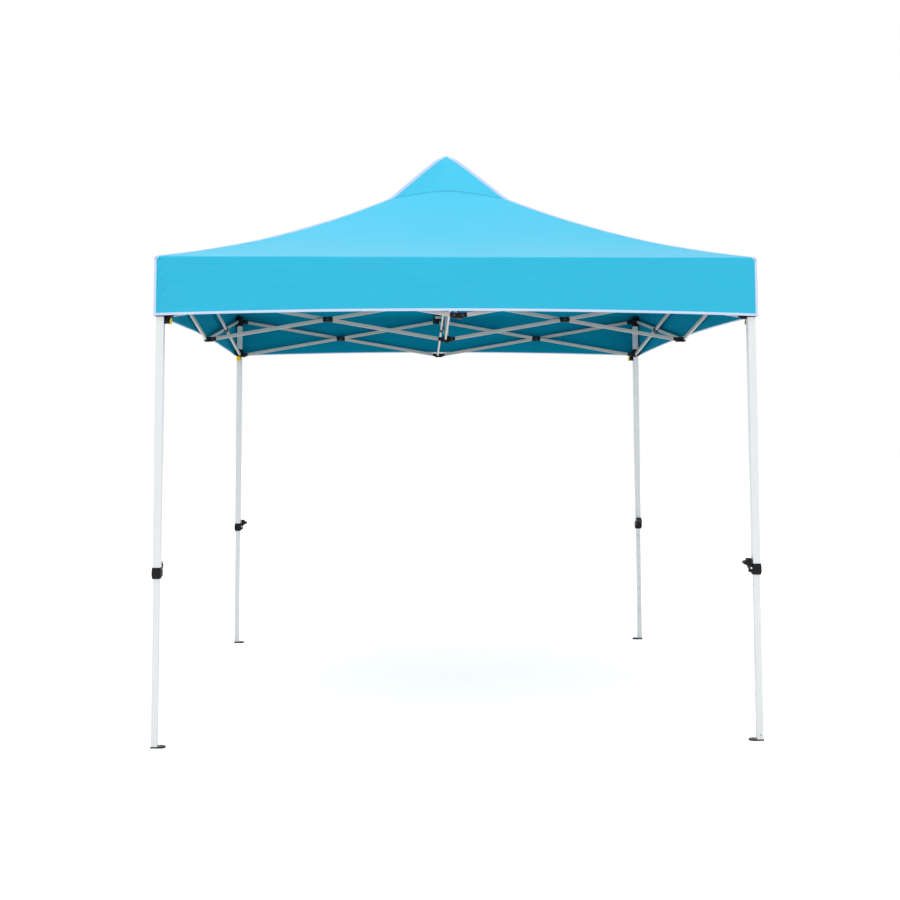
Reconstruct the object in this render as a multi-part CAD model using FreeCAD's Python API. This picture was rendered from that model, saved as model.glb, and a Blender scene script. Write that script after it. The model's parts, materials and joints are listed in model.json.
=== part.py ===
import FreeCAD, Part
import math
import os

# A square pop-up canopy, open and standing. Millimetres, +Z up. The origin is on the ground, at
# the centre of the four legs. Everything repeats four times, turned by 90 degrees about Z.

# Frame
LEG_OFFSET = 1470.0        # leg axis from each centre plane
TOP_PIVOT_Z = 2332.0       # top brackets, top side joints and top hub
LOW_PIVOT_Z = 2088.0       # sliders, bottom side joints and bottom hub
LEG_PIVOT = 40.0           # bar pivot from the leg axis
JOINT_PIVOT = 22.0         # bar pivot from a side joint's middle, along the side
INNER_PIVOT = 31.0         # bar pivot from the side plane, or from the hub's axis
LAYER = 8.5                # each bar of a crossing pair from their shared middle plane

# Legs
OUTER_TUBE = 38.0
INNER_TUBE = 31.0
TUBE_WALL = 1.2
OUTER_TUBE_BOTTOM_Z = 808.0
OUTER_TUBE_TOP_Z = 2360.0
INNER_TUBE_TOP_Z = 1050.0
FOOT_THICKNESS = 8.0
FOOT_OUTER = -17.0         # the plate's two straight outer edges, from the leg axis
FOOT_ROUND = (32.0, 4.5)   # centre of its round end, along its longer and its shorter side
STAKE_HOLE_RADIUS = 7.0    # at the centre of the round end
HEIGHT_HOLE_RADIUS = 4.0
HEIGHT_HOLE_PITCH = 76.0
HEIGHT_HOLES = 9
FIRST_HEIGHT_HOLE_Z = 220.0

# Truss bars
BAR_WIDTH = 22.0
BAR_THICKNESS = 12.0
BAR_WALL = 1.0
BAR_FITTING = 17.0         # end fitting from its pivot to the tube's end
PLUG_DEPTH = 22.0
PLUG_PLAY = 0.15
SLEEVE_LENGTH = 62.0
SLEEVE_WIDTH = 28.0
SLEEVE_THICKNESS = 16.6

# Pivots
BOLT_RADIUS = 4.0
BOLT_HOLE_RADIUS = 4.3
BOLT_SEAT_RADIUS = 4.05
HEAD_RADIUS = 7.0
HEAD_HEIGHT = 3.2
CHEEK = 3.0
CHEEK_PLAY = 0.5
CHEEK_RADIUS = 12.0
WEB_GAP = 13.5             # from a pivot to the inside of the clevis's web
WEB = 3.0

# Plastic parts on the legs
SHELL = 3.8
BRACKET_Z = (-32.0, 38.0)      # about the top pivots
SLIDER_Z = (-9.0, 40.0)        # about the low pivots
SLIDER_LUG_HALF = 12.0         # the strip of the sleeve that runs down behind the pin's housing
SLIDER_PLAY = 0.5
LOCK_DROP = 30.0               # pull pin below the low pivots
LOCK_HOUSING_RADIUS = 14.0
LOCK_HOUSING_END = 47.0
KNOB_RADIUS = 17.5
KNOB_X = (48.5, 53.5)
PIN_RADIUS = 3.0
PIN_BORE_RADIUS = 3.3
PIN_TIP = 19.6
LOCK_HOLE_RADIUS = 3.6
COLLAR_Z = (803.0, 857.0)
COLLAR_SIDE = 22.8
COLLAR_PLAY = 0.5
EAR_REACH = 38.0
EAR_Z = (811.0, 844.0)
EAR_Y = (19.4, 22.8)
LEVER_HALF = 19.0
LEVER_PIVOT = (31.0, 836.0)    # out from the leg axis, and height
LEVER_BOSS_RADIUS = 7.0
LEVER_UNDERSIDE = ((39.0, 841.0), (46.0, 849.0), (54.0, 849.0), (67.0, 859.0))  # boss to tip
LEVER_TOP = ((64.0, 865.0), (55.0, 872.0), (47.5, 869.0), (46.0, 882.0))        # back from the tip
LEVER_BACK = ((24.5, 882.0), (24.5, 836.0))                                     # along the tube
LEVER_PIN_RADIUS = 3.0
LEVER_HOLE_RADIUS = 3.3

# Side joints and hubs
CORE_HALF = 8.5
JOINT_OUTER_FACE = -18.0
JOINT_INNER_FACE = 16.5
HEAD_WIDE_HALF = 39.0
HEAD_DEEP_HALF = 16.0
HEAD_Z = (16.5, 25.0)          # the top joints' wide head, above their pivots
PAD_WIDE_HALF = 28.5
PAD_DEEP_HALF = 18.0
PAD_Z = (25.0, 43.0)           # the pad on the head, between the head's two shoulders
HUB_HALF = 18.0
HUB_Z = 20.0
MAST_BORE_RADIUS = 13.0

# Mast
MAST_RADIUS = 12.5
MAST_Z = (2072.0, 2700.0)
ROD_RADIUS = 9.5
ROD_Z = (2150.0, 3203.0)
ROD_PLAY = 0.3
BUSH_RADIUS = 15.5
BUSH_Z = (2675.0, 2712.0)
CAP_Z = 3228.0
CAP_TOP_RADIUS = 18.0
CAP_RADIUS = 31.0
CAP_SOCKET_RADIUS = 13.0
CAP_EDGE_DROP = 13.0           # the cap's heights, down from its top
CAP_RIM_DROP = 20.0
CAP_NECK_DROP = 30.0
CAP_SOCKET_DROP = 60.0

# Canopy
EAVE_HALF = 1499.0
EAVE_Z = 2378.0
PEAK_Z = 3238.0
FABRIC = 1.0
HEM_CORNER_Z = 2083.0
HEM_MIDDLE_Z = 2113.0
VALANCE_HALF = 1500.0
CAP_SEAM = 0.775               # share of the way from eave to peak where the steep cap begins
CAP_SEAM_RISE = 0.615          # share of the rise reached there
EAVE_SLOPE = 0.48              # rise against way in at the eave, in shares
TIP_ROUNDING = 0.12
ROOF_RINGS = (0.0, 0.1, 0.2, 0.3, 0.4, 0.5, 0.6, 0.7, CAP_SEAM, 0.84, 0.9, 0.95, 0.985, 0.996)
INNER_RING_INSET = 0.6

CUT_PAST = 1.0             # how far a cut runs past its faces, or a fused block into its neighbour

SIDES = ("front", "right", "back", "left")
CORNERS = ("front_left", "front_right", "back_right", "back_left")

SPAN = LEG_OFFSET - LEG_PIVOT - JOINT_PIVOT
RISE = TOP_PIVOT_Z - LOW_PIVOT_Z
BAR_LENGTH = math.hypot(SPAN, RISE)
SLOPE = math.degrees(math.atan2(RISE, SPAN))

Z_AXIS = FreeCAD.Vector(0, 0, 1)
Y_AXIS = FreeCAD.Vector(0, 1, 0)


def block(x, y, z):
    """A box between the low and high value of each axis."""
    size = [high - low for low, high in (x, y, z)]
    return Part.makeBox(*size, FreeCAD.Vector(x[0], y[0], z[0]))


def past(span):
    """A low and high value, moved apart so that a cut opens the faces there."""
    return span[0] - CUT_PAST, span[1] + CUT_PAST


def rod(radius, start, end):
    """A cylinder from one point to another."""
    start, end = FreeCAD.Vector(*start), FreeCAD.Vector(*end)
    return Part.makeCylinder(radius, start.distanceToPoint(end), start, end - start)


def square_tube(half, wall, z):
    outer = block((-half, half), (-half, half), z)
    bore = half - wall
    return outer.cut(block((-bore, bore), (-bore, bore), past(z)))


def moved(solids, base, slope=0.0, heading=0.0):
    """Copies turned about Y by slope and then about Z by heading, with their origin at base."""
    turn = FreeCAD.Rotation(Z_AXIS, heading).multiply(FreeCAD.Rotation(Y_AXIS, slope))
    place = FreeCAD.Placement(FreeCAD.Vector(*base), turn)
    copies = [solid.copy() for solid in solids]
    for solid in copies:
        solid.Placement = place.multiply(solid.Placement)
    return copies


def write(name, solids, quarter=0):
    """One file for a node, turned about the middle by a number of quarter turns."""
    Part.makeCompound(moved(solids, (0, 0, 0), 0.0, 90.0 * quarter)).exportStep(f"parts/{name}.step")


def bolt(point, y_from, y_to):
    """A bolt along Y through a clevis, with its head at y_from."""
    out = HEAD_HEIGHT if y_from > y_to else -HEAD_HEIGHT
    x, z = point
    shank = rod(BOLT_RADIUS, (x, y_from, z), (x, y_to, z))
    return shank.fuse(rod(HEAD_RADIUS, (x, y_from + out, z), (x, y_from, z))).removeSplitter()


def end_fitting():
    """A bar's end: a rounded plastic eye round the pivot, and a plug that goes into the tube."""
    half, thick = BAR_WIDTH / 2, BAR_THICKNESS / 2
    eye = block((0, BAR_FITTING), (-thick, thick), (-half, half))
    eye = eye.fuse(rod(half, (0, -thick, 0), (0, thick, 0)))
    inset = BAR_WALL + PLUG_PLAY
    plug = block((BAR_FITTING - CUT_PAST, BAR_FITTING + PLUG_DEPTH), (inset - thick, thick - inset),
                 (inset - half, half - inset))
    hole = rod(BOLT_HOLE_RADIUS, (0, -BAR_THICKNESS, 0), (0, BAR_THICKNESS, 0))
    return eye.fuse(plug).removeSplitter().cut(hole)


def truss_bar(bolt_side):
    """A scissor bar along +X from its first pivot. bolt_side says on which side in Y its partner
    lies, if this bar carries the middle bolt, or is 0 if it only has the hole."""
    half, thick, middle = BAR_WIDTH / 2, BAR_THICKNESS / 2, BAR_LENGTH / 2
    ends = (BAR_FITTING, BAR_LENGTH - BAR_FITTING)
    tube = block(ends, (-thick, thick), (-half, half))
    tube = tube.cut(block(past(ends), (BAR_WALL - thick, thick - BAR_WALL),
                          (BAR_WALL - half, half - BAR_WALL)))
    sleeve_x = (middle - SLEEVE_LENGTH / 2, middle + SLEEVE_LENGTH / 2)
    out, tall = SLEEVE_THICKNESS / 2, SLEEVE_WIDTH / 2
    sleeve = block(sleeve_x, (-out, out), (-tall, tall))
    sleeve = sleeve.cut(block(past(sleeve_x), (-thick, thick), (-half, half)))
    radius = BOLT_SEAT_RADIUS if bolt_side else BOLT_HOLE_RADIUS
    hole = rod(radius, (middle, -SLEEVE_THICKNESS, 0), (middle, SLEEVE_THICKNESS, 0))
    far = end_fitting()
    far.rotate(FreeCAD.Vector(0, 0, 0), Z_AXIS, 180)
    far.translate(FreeCAD.Vector(BAR_LENGTH, 0, 0))
    solids = [tube.cut(hole), end_fitting(), far, sleeve.cut(hole)]
    if bolt_side:
        nut = bolt_side * (2 * LAYER + out + CHEEK_PLAY)
        nut_rod = rod(HEAD_RADIUS, (middle, nut, 0), (middle, nut + bolt_side * HEAD_HEIGHT, 0))
        solids.append(fused([bolt((middle, 0), -bolt_side * out, nut), nut_rod]))
    return solids


def clevis(root, pivot, layer, up):
    """Two cheeks and a web round a bar's end along +X, with the pivot at z 0. The bar swings up
    where up is 1 and down where it is -1. Returns the plastic, with its bolt hole."""
    near = BAR_THICKNESS / 2 + CHEEK_PLAY
    web_low, web_high = sorted((-up * WEB_GAP, -up * (WEB_GAP + WEB)))
    cheek_z = tuple(sorted((-up * (WEB_GAP + WEB), up * CHEEK_RADIUS)))
    plastic = block((root - CUT_PAST, pivot), (layer - near - CHEEK, layer + near + CHEEK),
                    (web_low, web_high))
    for low in (layer - near - CHEEK, layer + near):
        cheek = block((root - CUT_PAST, pivot), (low, low + CHEEK), cheek_z)
        tip = rod(CHEEK_RADIUS, (pivot, low, 0), (pivot, low + CHEEK, 0))
        plastic = plastic.fuse(cheek.fuse(tip))
    reach = near + CHEEK + CUT_PAST
    return plastic.cut(rod(BOLT_SEAT_RADIUS, (pivot, layer - reach, 0), (pivot, layer + reach, 0)))


def clevis_bolt(pivot, layer, head_side):
    """The bolt of a clevis, with its head on the side head_side in Y."""
    reach = head_side * (BAR_THICKNESS / 2 + CHEEK_PLAY + CHEEK)
    return bolt((pivot, 0), layer + reach, layer - reach)


def corner_clevises(root, layer, up, z):
    """The two clevises of a part on the front left leg, along +X and +Y, and their bolts. layer is
    along Y for the first one; the second is its mirror image in the leg's diagonal plane."""
    head = 1 if layer > 0 else -1
    along_x = moved([clevis(root, LEG_PIVOT, layer, up), clevis_bolt(LEG_PIVOT, layer, head)],
                    (0, 0, z))
    along_y = moved([clevis(root, LEG_PIVOT, -layer, up), clevis_bolt(LEG_PIVOT, -layer, -head)],
                    (0, 0, z), 0.0, 90.0)
    return [along_x[0], along_y[0]], [along_x[1], along_y[1]]


def on_leg(solids):
    """Moves solids made round the leg axis to the front left leg."""
    return moved(solids, (-LEG_OFFSET, -LEG_OFFSET, 0))


def fused(solids):
    whole = solids[0]
    for solid in solids[1:]:
        whole = whole.fuse(solid)
    return whole.removeSplitter()


def top_bracket():
    """The capped plastic socket on top of a leg, with its two clevises and their bolts."""
    side = OUTER_TUBE / 2 + SHELL
    low, high = (TOP_PIVOT_Z + z for z in BRACKET_Z)
    clevises, bolts = corner_clevises(side, -LAYER, -1, TOP_PIVOT_Z)
    body = fused([block((-side, side), (-side, side), (low, high))] + clevises)
    bore = OUTER_TUBE / 2
    body = body.cut(block((-bore, bore), (-bore, bore), (low - CUT_PAST, OUTER_TUBE_TOP_Z)))
    return [body] + bolts


def height_collar():
    """The plastic collar at the foot of an outer tube, with the ears of its lever on +Y."""
    body = block((-COLLAR_SIDE, COLLAR_SIDE), (-COLLAR_SIDE, COLLAR_SIDE), COLLAR_Z)
    for low, high in (EAR_Y, (-EAR_Y[1], -EAR_Y[0])):
        body = body.fuse(block((low, high), (COLLAR_SIDE - CUT_PAST, EAR_REACH), EAR_Z))
    outer, inner = OUTER_TUBE / 2, INNER_TUBE / 2 + COLLAR_PLAY
    bottom, top = past(COLLAR_Z)
    body = body.cut(block((-outer, outer), (-outer, outer), (OUTER_TUBE_BOTTOM_Z, top)))
    body = body.cut(block((-inner, inner), (-inner, inner), (bottom, OUTER_TUBE_BOTTOM_Z + CUT_PAST)))
    out, height = LEVER_PIVOT
    rivet_end = EAR_Y[1] + CUT_PAST
    rivet = rod(LEVER_PIN_RADIUS, (-rivet_end, out, height), (rivet_end, out, height))
    return [body.cut(rivet).removeSplitter(), rivet]


def leg():
    """An outer leg tube with its top bracket and height collar."""
    tube = square_tube(OUTER_TUBE / 2, TUBE_WALL, (OUTER_TUBE_BOTTOM_Z, OUTER_TUBE_TOP_Z))
    lock_z = LOW_PIVOT_Z - LOCK_DROP
    tube = tube.cut(rod(LOCK_HOLE_RADIUS, (0, 0, lock_z), (OUTER_TUBE, 0, lock_z)))
    return [tube] + top_bracket() + height_collar()


def slider():
    """The plastic slider: a sleeve on the outer tube, two clevises and the housing of its pin."""
    bore = OUTER_TUBE / 2 + SLIDER_PLAY
    side = bore + SHELL
    low, high = (LOW_PIVOT_Z + z for z in SLIDER_Z)
    lock_z = LOW_PIVOT_Z - LOCK_DROP
    clevises, bolts = corner_clevises(side, LAYER, 1, LOW_PIVOT_Z)
    housing = rod(LOCK_HOUSING_RADIUS, (bore, 0, lock_z), (LOCK_HOUSING_END, 0, lock_z))
    lug = block((bore, side), (-SLIDER_LUG_HALF, SLIDER_LUG_HALF),
                (lock_z - LOCK_HOUSING_RADIUS, low + CUT_PAST))
    body = fused([block((-side, side), (-side, side), (low, high)), lug, housing] + clevises)
    body = body.cut(block((-bore, bore), (-bore, bore), past((low, high))))
    pin_bore = rod(PIN_BORE_RADIUS, (0, 0, lock_z), (LOCK_HOUSING_END + CUT_PAST, 0, lock_z))
    return [body.cut(pin_bore)] + bolts


def pull_pin():
    """The spring pin that locks a slider, with its round pull knob."""
    lock_z = LOW_PIVOT_Z - LOCK_DROP
    pin = rod(PIN_RADIUS, (PIN_TIP, 0, lock_z), (KNOB_X[1], 0, lock_z))
    knob = rod(KNOB_RADIUS, (KNOB_X[0], 0, lock_z), (KNOB_X[1], 0, lock_z))
    return [pin.fuse(knob).removeSplitter()]


def height_lever():
    """The lever that frees the inner leg, on the +Y side of its collar."""
    out, height = LEVER_PIVOT
    outline = [(out, height - LEVER_BOSS_RADIUS), *LEVER_UNDERSIDE, *LEVER_TOP, *LEVER_BACK]
    points = [FreeCAD.Vector(-LEVER_HALF, y, z) for y, z in outline + outline[:1]]
    arm = Part.Face(Part.makePolygon(points)).extrude(FreeCAD.Vector(2 * LEVER_HALF, 0, 0))
    boss = rod(LEVER_BOSS_RADIUS, (-LEVER_HALF, out, height), (LEVER_HALF, out, height))
    low, high = past((-LEVER_HALF, LEVER_HALF))
    hole = rod(LEVER_HOLE_RADIUS, (low, out, height), (high, out, height))
    return [arm.fuse(boss).removeSplitter().cut(hole)]


def foot_plate(swapped):
    """The plate under a leg, longer along X, or along Y where swapped, with its stake hole."""
    round_x, round_y = FOOT_ROUND
    radius = round_y - FOOT_OUTER
    straight = block((FOOT_OUTER, round_x), (FOOT_OUTER, round_y + radius), (0, FOOT_THICKNESS))
    end = rod(radius, (*FOOT_ROUND, 0), (*FOOT_ROUND, FOOT_THICKNESS))
    low, high = past((0, FOOT_THICKNESS))
    hole = rod(STAKE_HOLE_RADIUS, (*FOOT_ROUND, low), (*FOOT_ROUND, high))
    plate = straight.fuse(end).cut(hole).removeSplitter()
    return plate.mirror(FreeCAD.Vector(0, 0, 0), FreeCAD.Vector(1, -1, 0)) if swapped else plate


def inner_leg(swapped):
    """An inner leg tube with its height holes and its foot plate."""
    tube = square_tube(INNER_TUBE / 2, TUBE_WALL, (FOOT_THICKNESS, INNER_TUBE_TOP_Z))
    for n in range(HEIGHT_HOLES):
        z = FIRST_HEIGHT_HOLE_Z + n * HEIGHT_HOLE_PITCH
        tube = tube.cut(rod(HEIGHT_HOLE_RADIUS, (0, 0, z), (0, INNER_TUBE, z)))
    return [tube, foot_plate(swapped)]


def side_joint(z, up):
    """A plastic joint at the middle of the front side: two clevises for the bars of the side and
    one, on +Y, for the bar from the hub. The top ones also carry a pad under the roof."""
    layer = LAYER * up
    left_right = []
    for heading, turn in ((0.0, 1), (180.0, -1)):
        left_right += moved([clevis(CORE_HALF, JOINT_PIVOT, -turn * layer, up),
                             clevis_bolt(JOINT_PIVOT, -turn * layer, -turn)], (0, 0, 0), 0.0, heading)
    hub_bar = moved([clevis(JOINT_INNER_FACE, INNER_PIVOT, -layer, up),
                     clevis_bolt(INNER_PIVOT, -layer, -up)], (0, 0, 0), 0.0, 90.0)
    reach = sorted((up * CHEEK_RADIUS, -up * (WEB_GAP + WEB)))
    core = block((-CORE_HALF, CORE_HALF), (JOINT_OUTER_FACE, JOINT_INNER_FACE), reach)
    parts = [core, left_right[0], left_right[2], hub_bar[0]]
    if up < 0:
        parts += joint_head()
    solids = [fused(parts), left_right[1], left_right[3], hub_bar[1]]
    if up < 0:
        solids.append(block((-PAD_WIDE_HALF, PAD_WIDE_HALF), (-PAD_DEEP_HALF, PAD_DEEP_HALF), PAD_Z))
    return moved(solids, (0, -LEG_OFFSET, z))


def joint_head():
    """The wide head on top of a top joint, and its shoulders at both ends of the pad."""
    deep = (-HEAD_DEEP_HALF, HEAD_DEEP_HALF)
    blocks = [block((-HEAD_WIDE_HALF, HEAD_WIDE_HALF), deep, HEAD_Z)]
    for ends in ((-HEAD_WIDE_HALF, -PAD_WIDE_HALF), (PAD_WIDE_HALF, HEAD_WIDE_HALF)):
        blocks.append(block(ends, deep, (HEAD_Z[1] - CUT_PAST, PAD_Z[1])))
    return blocks


def hub(z, up):
    """A hub on the mast: a core with four clevises, one for the bar to each side."""
    reach = sorted((up * HUB_Z, -up * (WEB_GAP + WEB)))
    body = block((-HUB_HALF, HUB_HALF), (-HUB_HALF, HUB_HALF), reach)
    bolts = []
    for quarter in range(4):
        ear, pin = moved([clevis(HUB_HALF, INNER_PIVOT, -up * LAYER, up),
                          clevis_bolt(INNER_PIVOT, -up * LAYER, -up)], (0, 0, 0), 0.0, 90.0 * quarter)
        body = body.fuse(ear)
        bolts.append(pin)
    low, high = past((-HUB_Z, HUB_Z))
    bore = rod(MAST_BORE_RADIUS if up < 0 else MAST_RADIUS, (0, 0, low), (0, 0, high))
    return moved([body.removeSplitter().cut(bore)] + bolts, (0, 0, z))


def pipe(radius, wall, z):
    low, high = past(z)
    return rod(radius, (0, 0, z[0]), (0, 0, z[1])).cut(rod(radius - wall, (0, 0, low), (0, 0, high)))


def mast_bush():
    """The plastic ring on top of the mast's tube that guides its rod."""
    lip = pipe(BUSH_RADIUS, BUSH_RADIUS - MAST_RADIUS, (BUSH_Z[0], MAST_Z[1]))
    top = pipe(BUSH_RADIUS, BUSH_RADIUS - ROD_RADIUS - ROD_PLAY, (MAST_Z[1], BUSH_Z[1]))
    return [lip.fuse(top).removeSplitter()]


def mast_cap():
    """The round cap on the mast's rod that holds up the peak."""
    outline = [(0, CAP_Z), (CAP_TOP_RADIUS, CAP_Z), (CAP_RADIUS, CAP_Z - CAP_EDGE_DROP),
               (CAP_RADIUS, CAP_Z - CAP_RIM_DROP), (CAP_SOCKET_RADIUS, CAP_Z - CAP_NECK_DROP),
               (CAP_SOCKET_RADIUS, CAP_Z - CAP_SOCKET_DROP), (ROD_RADIUS, CAP_Z - CAP_SOCKET_DROP),
               (ROD_RADIUS, ROD_Z[1]), (0, ROD_Z[1])]
    points = [FreeCAD.Vector(x, 0, z) for x, z in outline + outline[:1]]
    return [Part.Face(Part.makePolygon(points)).revolve(FreeCAD.Vector(0, 0, 0), Z_AXIS, 360)]


def roof_rise(share):
    """The roof's height above the eave, as a share of its whole rise, at a share of the way in."""
    if share <= CAP_SEAM:
        return EAVE_SLOPE * share + (CAP_SEAM_RISE / CAP_SEAM - EAVE_SLOPE) * share**2 / CAP_SEAM
    left = (1 - share) / (1 - CAP_SEAM)
    steep = math.sqrt((1 + TIP_ROUNDING) ** 2 - TIP_ROUNDING**2)
    drop = math.hypot(TIP_ROUNDING, steep * left) - TIP_ROUNDING
    return 1 - (1 - CAP_SEAM_RISE) * drop


def roof():
    """The four-sided roof as a thin shell of level square rings, steeper above its cap seam."""
    outer = [(EAVE_HALF * (1 - s), EAVE_Z + (PEAK_Z - EAVE_Z) * roof_rise(s)) for s in ROOF_RINGS]
    inner = [(half - INNER_RING_INSET, z - FABRIC) for half, z in outer]
    faces = []
    for rings in (outer, inner, [outer[0], inner[0]]):
        for (half, z), (next_half, next_z) in zip(rings, rings[1:]):
            side = [(-half, -half, z), (half, -half, z), (next_half, -next_half, next_z),
                    (-next_half, -next_half, next_z)]
            quad = Part.Face(Part.makePolygon([FreeCAD.Vector(*p) for p in side + side[:1]]))
            faces += [moved([quad], (0, 0, 0), 0.0, 90.0 * n)[0] for n in range(4)]
    for half, z in (outer[-1], inner[-1]):
        tip = [(-half, -half, z), (half, -half, z), (half, half, z), (-half, half, z)]
        faces.append(Part.Face(Part.makePolygon([FreeCAD.Vector(*p) for p in tip + tip[:1]])))
    shell = Part.makeShell(faces)
    shell.sewShape()
    solid = Part.makeSolid(shell)
    if solid.Volume < 0:
        solid.reverse()
    return [solid]


def valance():
    """The straight skirt below the eave, with its hem arched up along each side."""
    outer, inner = VALANCE_HALF, VALANCE_HALF - FABRIC
    z = (HEM_CORNER_Z, EAVE_Z - FABRIC)
    skirt = block((-outer, outer), (-outer, outer), z)
    skirt = skirt.cut(block((-inner, inner), (-inner, inner), past(z)))
    arch = HEM_MIDDLE_Z - HEM_CORNER_Z
    radius = (outer**2 + arch**2) / (2 * arch)
    middle = HEM_MIDDLE_Z - radius
    skirt = skirt.cut(rod(radius, (0, -2 * outer, middle), (0, 2 * outer, middle)))
    return [skirt.cut(rod(radius, (-2 * outer, 0, middle), (2 * outer, 0, middle)))]


def side_bars():
    """The four bars of the front side, by name, as (end, level): left and right ends, bars from the
    top bracket and from the slider."""
    bars = {}
    for end, sign, heading in (("left", -1, 0.0), ("right", 1, 180.0)):
        start_x = sign * (LEG_OFFSET - LEG_PIVOT)
        bars[end, "top"] = moved(truss_bar(0), (start_x, -LEG_OFFSET - LAYER, TOP_PIVOT_Z), SLOPE, heading)
        bars[end, "low"] = moved(truss_bar(sign), (start_x, -LEG_OFFSET + LAYER, LOW_PIVOT_Z), -SLOPE,
                                 heading)
    return bars


def centre_bars():
    """The two bars from the hubs to the front side: one down from the top hub, one up from the
    bottom hub."""
    down = moved(truss_bar(-1), (LAYER, -INNER_PIVOT, TOP_PIVOT_Z), SLOPE, -90.0)
    up = moved(truss_bar(0), (-LAYER, -INNER_PIVOT, LOW_PIVOT_Z), -SLOPE, -90.0)
    return {"top": down, "bottom": up}


def main():
    os.makedirs("parts", exist_ok=True)
    leg_parts = {"leg": on_leg(leg()), "slider": on_leg(slider()), "pull_pin": on_leg(pull_pin()),
                 "height_lever": on_leg(height_lever())}
    bars, middle = side_bars(), centre_bars()
    joints = {"top": side_joint(TOP_PIVOT_Z, -1), "bottom": side_joint(LOW_PIVOT_Z, 1)}
    for quarter, (side, corner) in enumerate(zip(SIDES, CORNERS)):
        for kind, solids in leg_parts.items():
            write(f"{kind}_{corner}", solids, quarter)
        write(f"inner_leg_{corner}", on_leg(inner_leg(quarter % 2 == 1)), quarter)
        for (end, level), solids in bars.items():
            write(f"{level}_bar_{side}_{end}", solids, quarter)
        for level in ("top", "bottom"):
            write(f"centre_bar_{level}_{side}", middle[level], quarter)
            write(f"side_joint_{level}_{side}", joints[level], quarter)
    write("hub_top", hub(TOP_PIVOT_Z, -1))
    write("hub_bottom", hub(LOW_PIVOT_Z, 1))
    write("mast_tube", [pipe(MAST_RADIUS, TUBE_WALL, MAST_Z)])
    write("mast_rod", [pipe(ROD_RADIUS, TUBE_WALL, ROD_Z)])
    write("mast_bush", mast_bush())
    write("mast_cap", mast_cap())
    write("canopy_roof", roof())
    write("canopy_valance", valance())


main()
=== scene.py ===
import json
import math

import bmesh
import bpy
from mathutils import Matrix, Vector, noise


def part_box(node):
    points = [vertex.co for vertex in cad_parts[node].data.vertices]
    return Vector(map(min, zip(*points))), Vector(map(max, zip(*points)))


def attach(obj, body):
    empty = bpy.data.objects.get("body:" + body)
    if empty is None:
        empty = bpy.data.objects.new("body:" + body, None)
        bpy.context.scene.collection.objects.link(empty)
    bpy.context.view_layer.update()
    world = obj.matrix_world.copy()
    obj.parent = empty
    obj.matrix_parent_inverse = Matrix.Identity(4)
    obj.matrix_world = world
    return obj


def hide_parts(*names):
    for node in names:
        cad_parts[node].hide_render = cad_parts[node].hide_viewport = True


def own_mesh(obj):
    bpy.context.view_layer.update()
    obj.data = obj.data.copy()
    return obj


# The looks of a square pop-up canopy on its CAD frame. Metres, +Z up, origin on the ground at the
# centre of the four legs. Parts are made once for the front side or the front left leg and then
# turned by quarter turns, as in the CAD.

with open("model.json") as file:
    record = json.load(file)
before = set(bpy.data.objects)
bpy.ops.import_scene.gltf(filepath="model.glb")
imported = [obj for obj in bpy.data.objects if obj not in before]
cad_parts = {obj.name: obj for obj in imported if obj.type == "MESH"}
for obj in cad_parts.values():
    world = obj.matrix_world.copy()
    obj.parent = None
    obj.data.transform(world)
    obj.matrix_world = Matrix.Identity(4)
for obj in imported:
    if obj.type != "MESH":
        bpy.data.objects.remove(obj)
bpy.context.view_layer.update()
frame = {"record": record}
JOINTS = {joint["name"]: joint for joint in frame["record"]["behaviour"]["joints"]}

SIDES = ("front", "right", "back", "left")
CORNERS = ("front_left", "front_right", "back_right", "back_left")
TINY = 1e-6

# Frame sizes, as in the CAD
LEG_PIVOT = 0.040
JOINT_PIVOT = 0.022
INNER_PIVOT = 0.031
LAYER = 0.0085
OUTER_HALF = 0.019
INNER_HALF = 0.0155
TUBE_WALL = 0.0012
TUBE_ROUNDING = 0.0024
BAR_HALF_HEIGHT = 0.011
BAR_HALF_THICK = 0.006
BAR_WALL = 0.001
BAR_ROUNDING = 0.002
BAR_FITTING = 0.017
SLEEVE_HALF_HEIGHT = 0.014
SLEEVE_HALF_THICK = 0.0083
SLEEVE_HALF_LENGTH = 0.031
CHEEK = 0.003
CHEEK_PLAY = 0.0005
CHEEK_RADIUS = 0.012
WEB_GAP = 0.0135
WEB = 0.003
BOLT_RADIUS = 0.004
HEAD_RADIUS = 0.007
HEAD_HEIGHT = 0.0032
BRACKET_HALF = 0.0228
SLIDER_HALF = 0.0233
SLIDER_BORE = 0.0195
LOCK_DROP = 0.030
COLLAR_HALF = 0.0228
COLLAR_BORE = 0.016
LEVER_OUT = 0.031
LEVER_HALF = 0.019
EAR = (0.0194, 0.0227)
CORE_HALF = 0.0085
HUB_HALF = 0.018
MAST_BORE = 0.013
MAST_RADIUS = 0.0125
ROD_RADIUS = 0.0095


def pivot(name):
    return Vector(JOINTS[name]["pos_m"])


TOP_Z = pivot("leg_pivot_front_left").z
LOW_Z = pivot("slider_pivot_front_left").z
LEVER_Z = pivot("height_lever_pull_front_left").z
LEG = -pivot("leg_pivot_front_left").x + LEG_PIVOT
TUBE_TOP_Z = TOP_Z + 0.028
TUBE_BOTTOM_Z = LEVER_Z - 0.028
SPAN = LEG - LEG_PIVOT - JOINT_PIVOT
BAR_LENGTH = math.hypot(SPAN, TOP_Z - LOW_Z)
SLOPE = math.atan2(TOP_Z - LOW_Z, SPAN)

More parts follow.
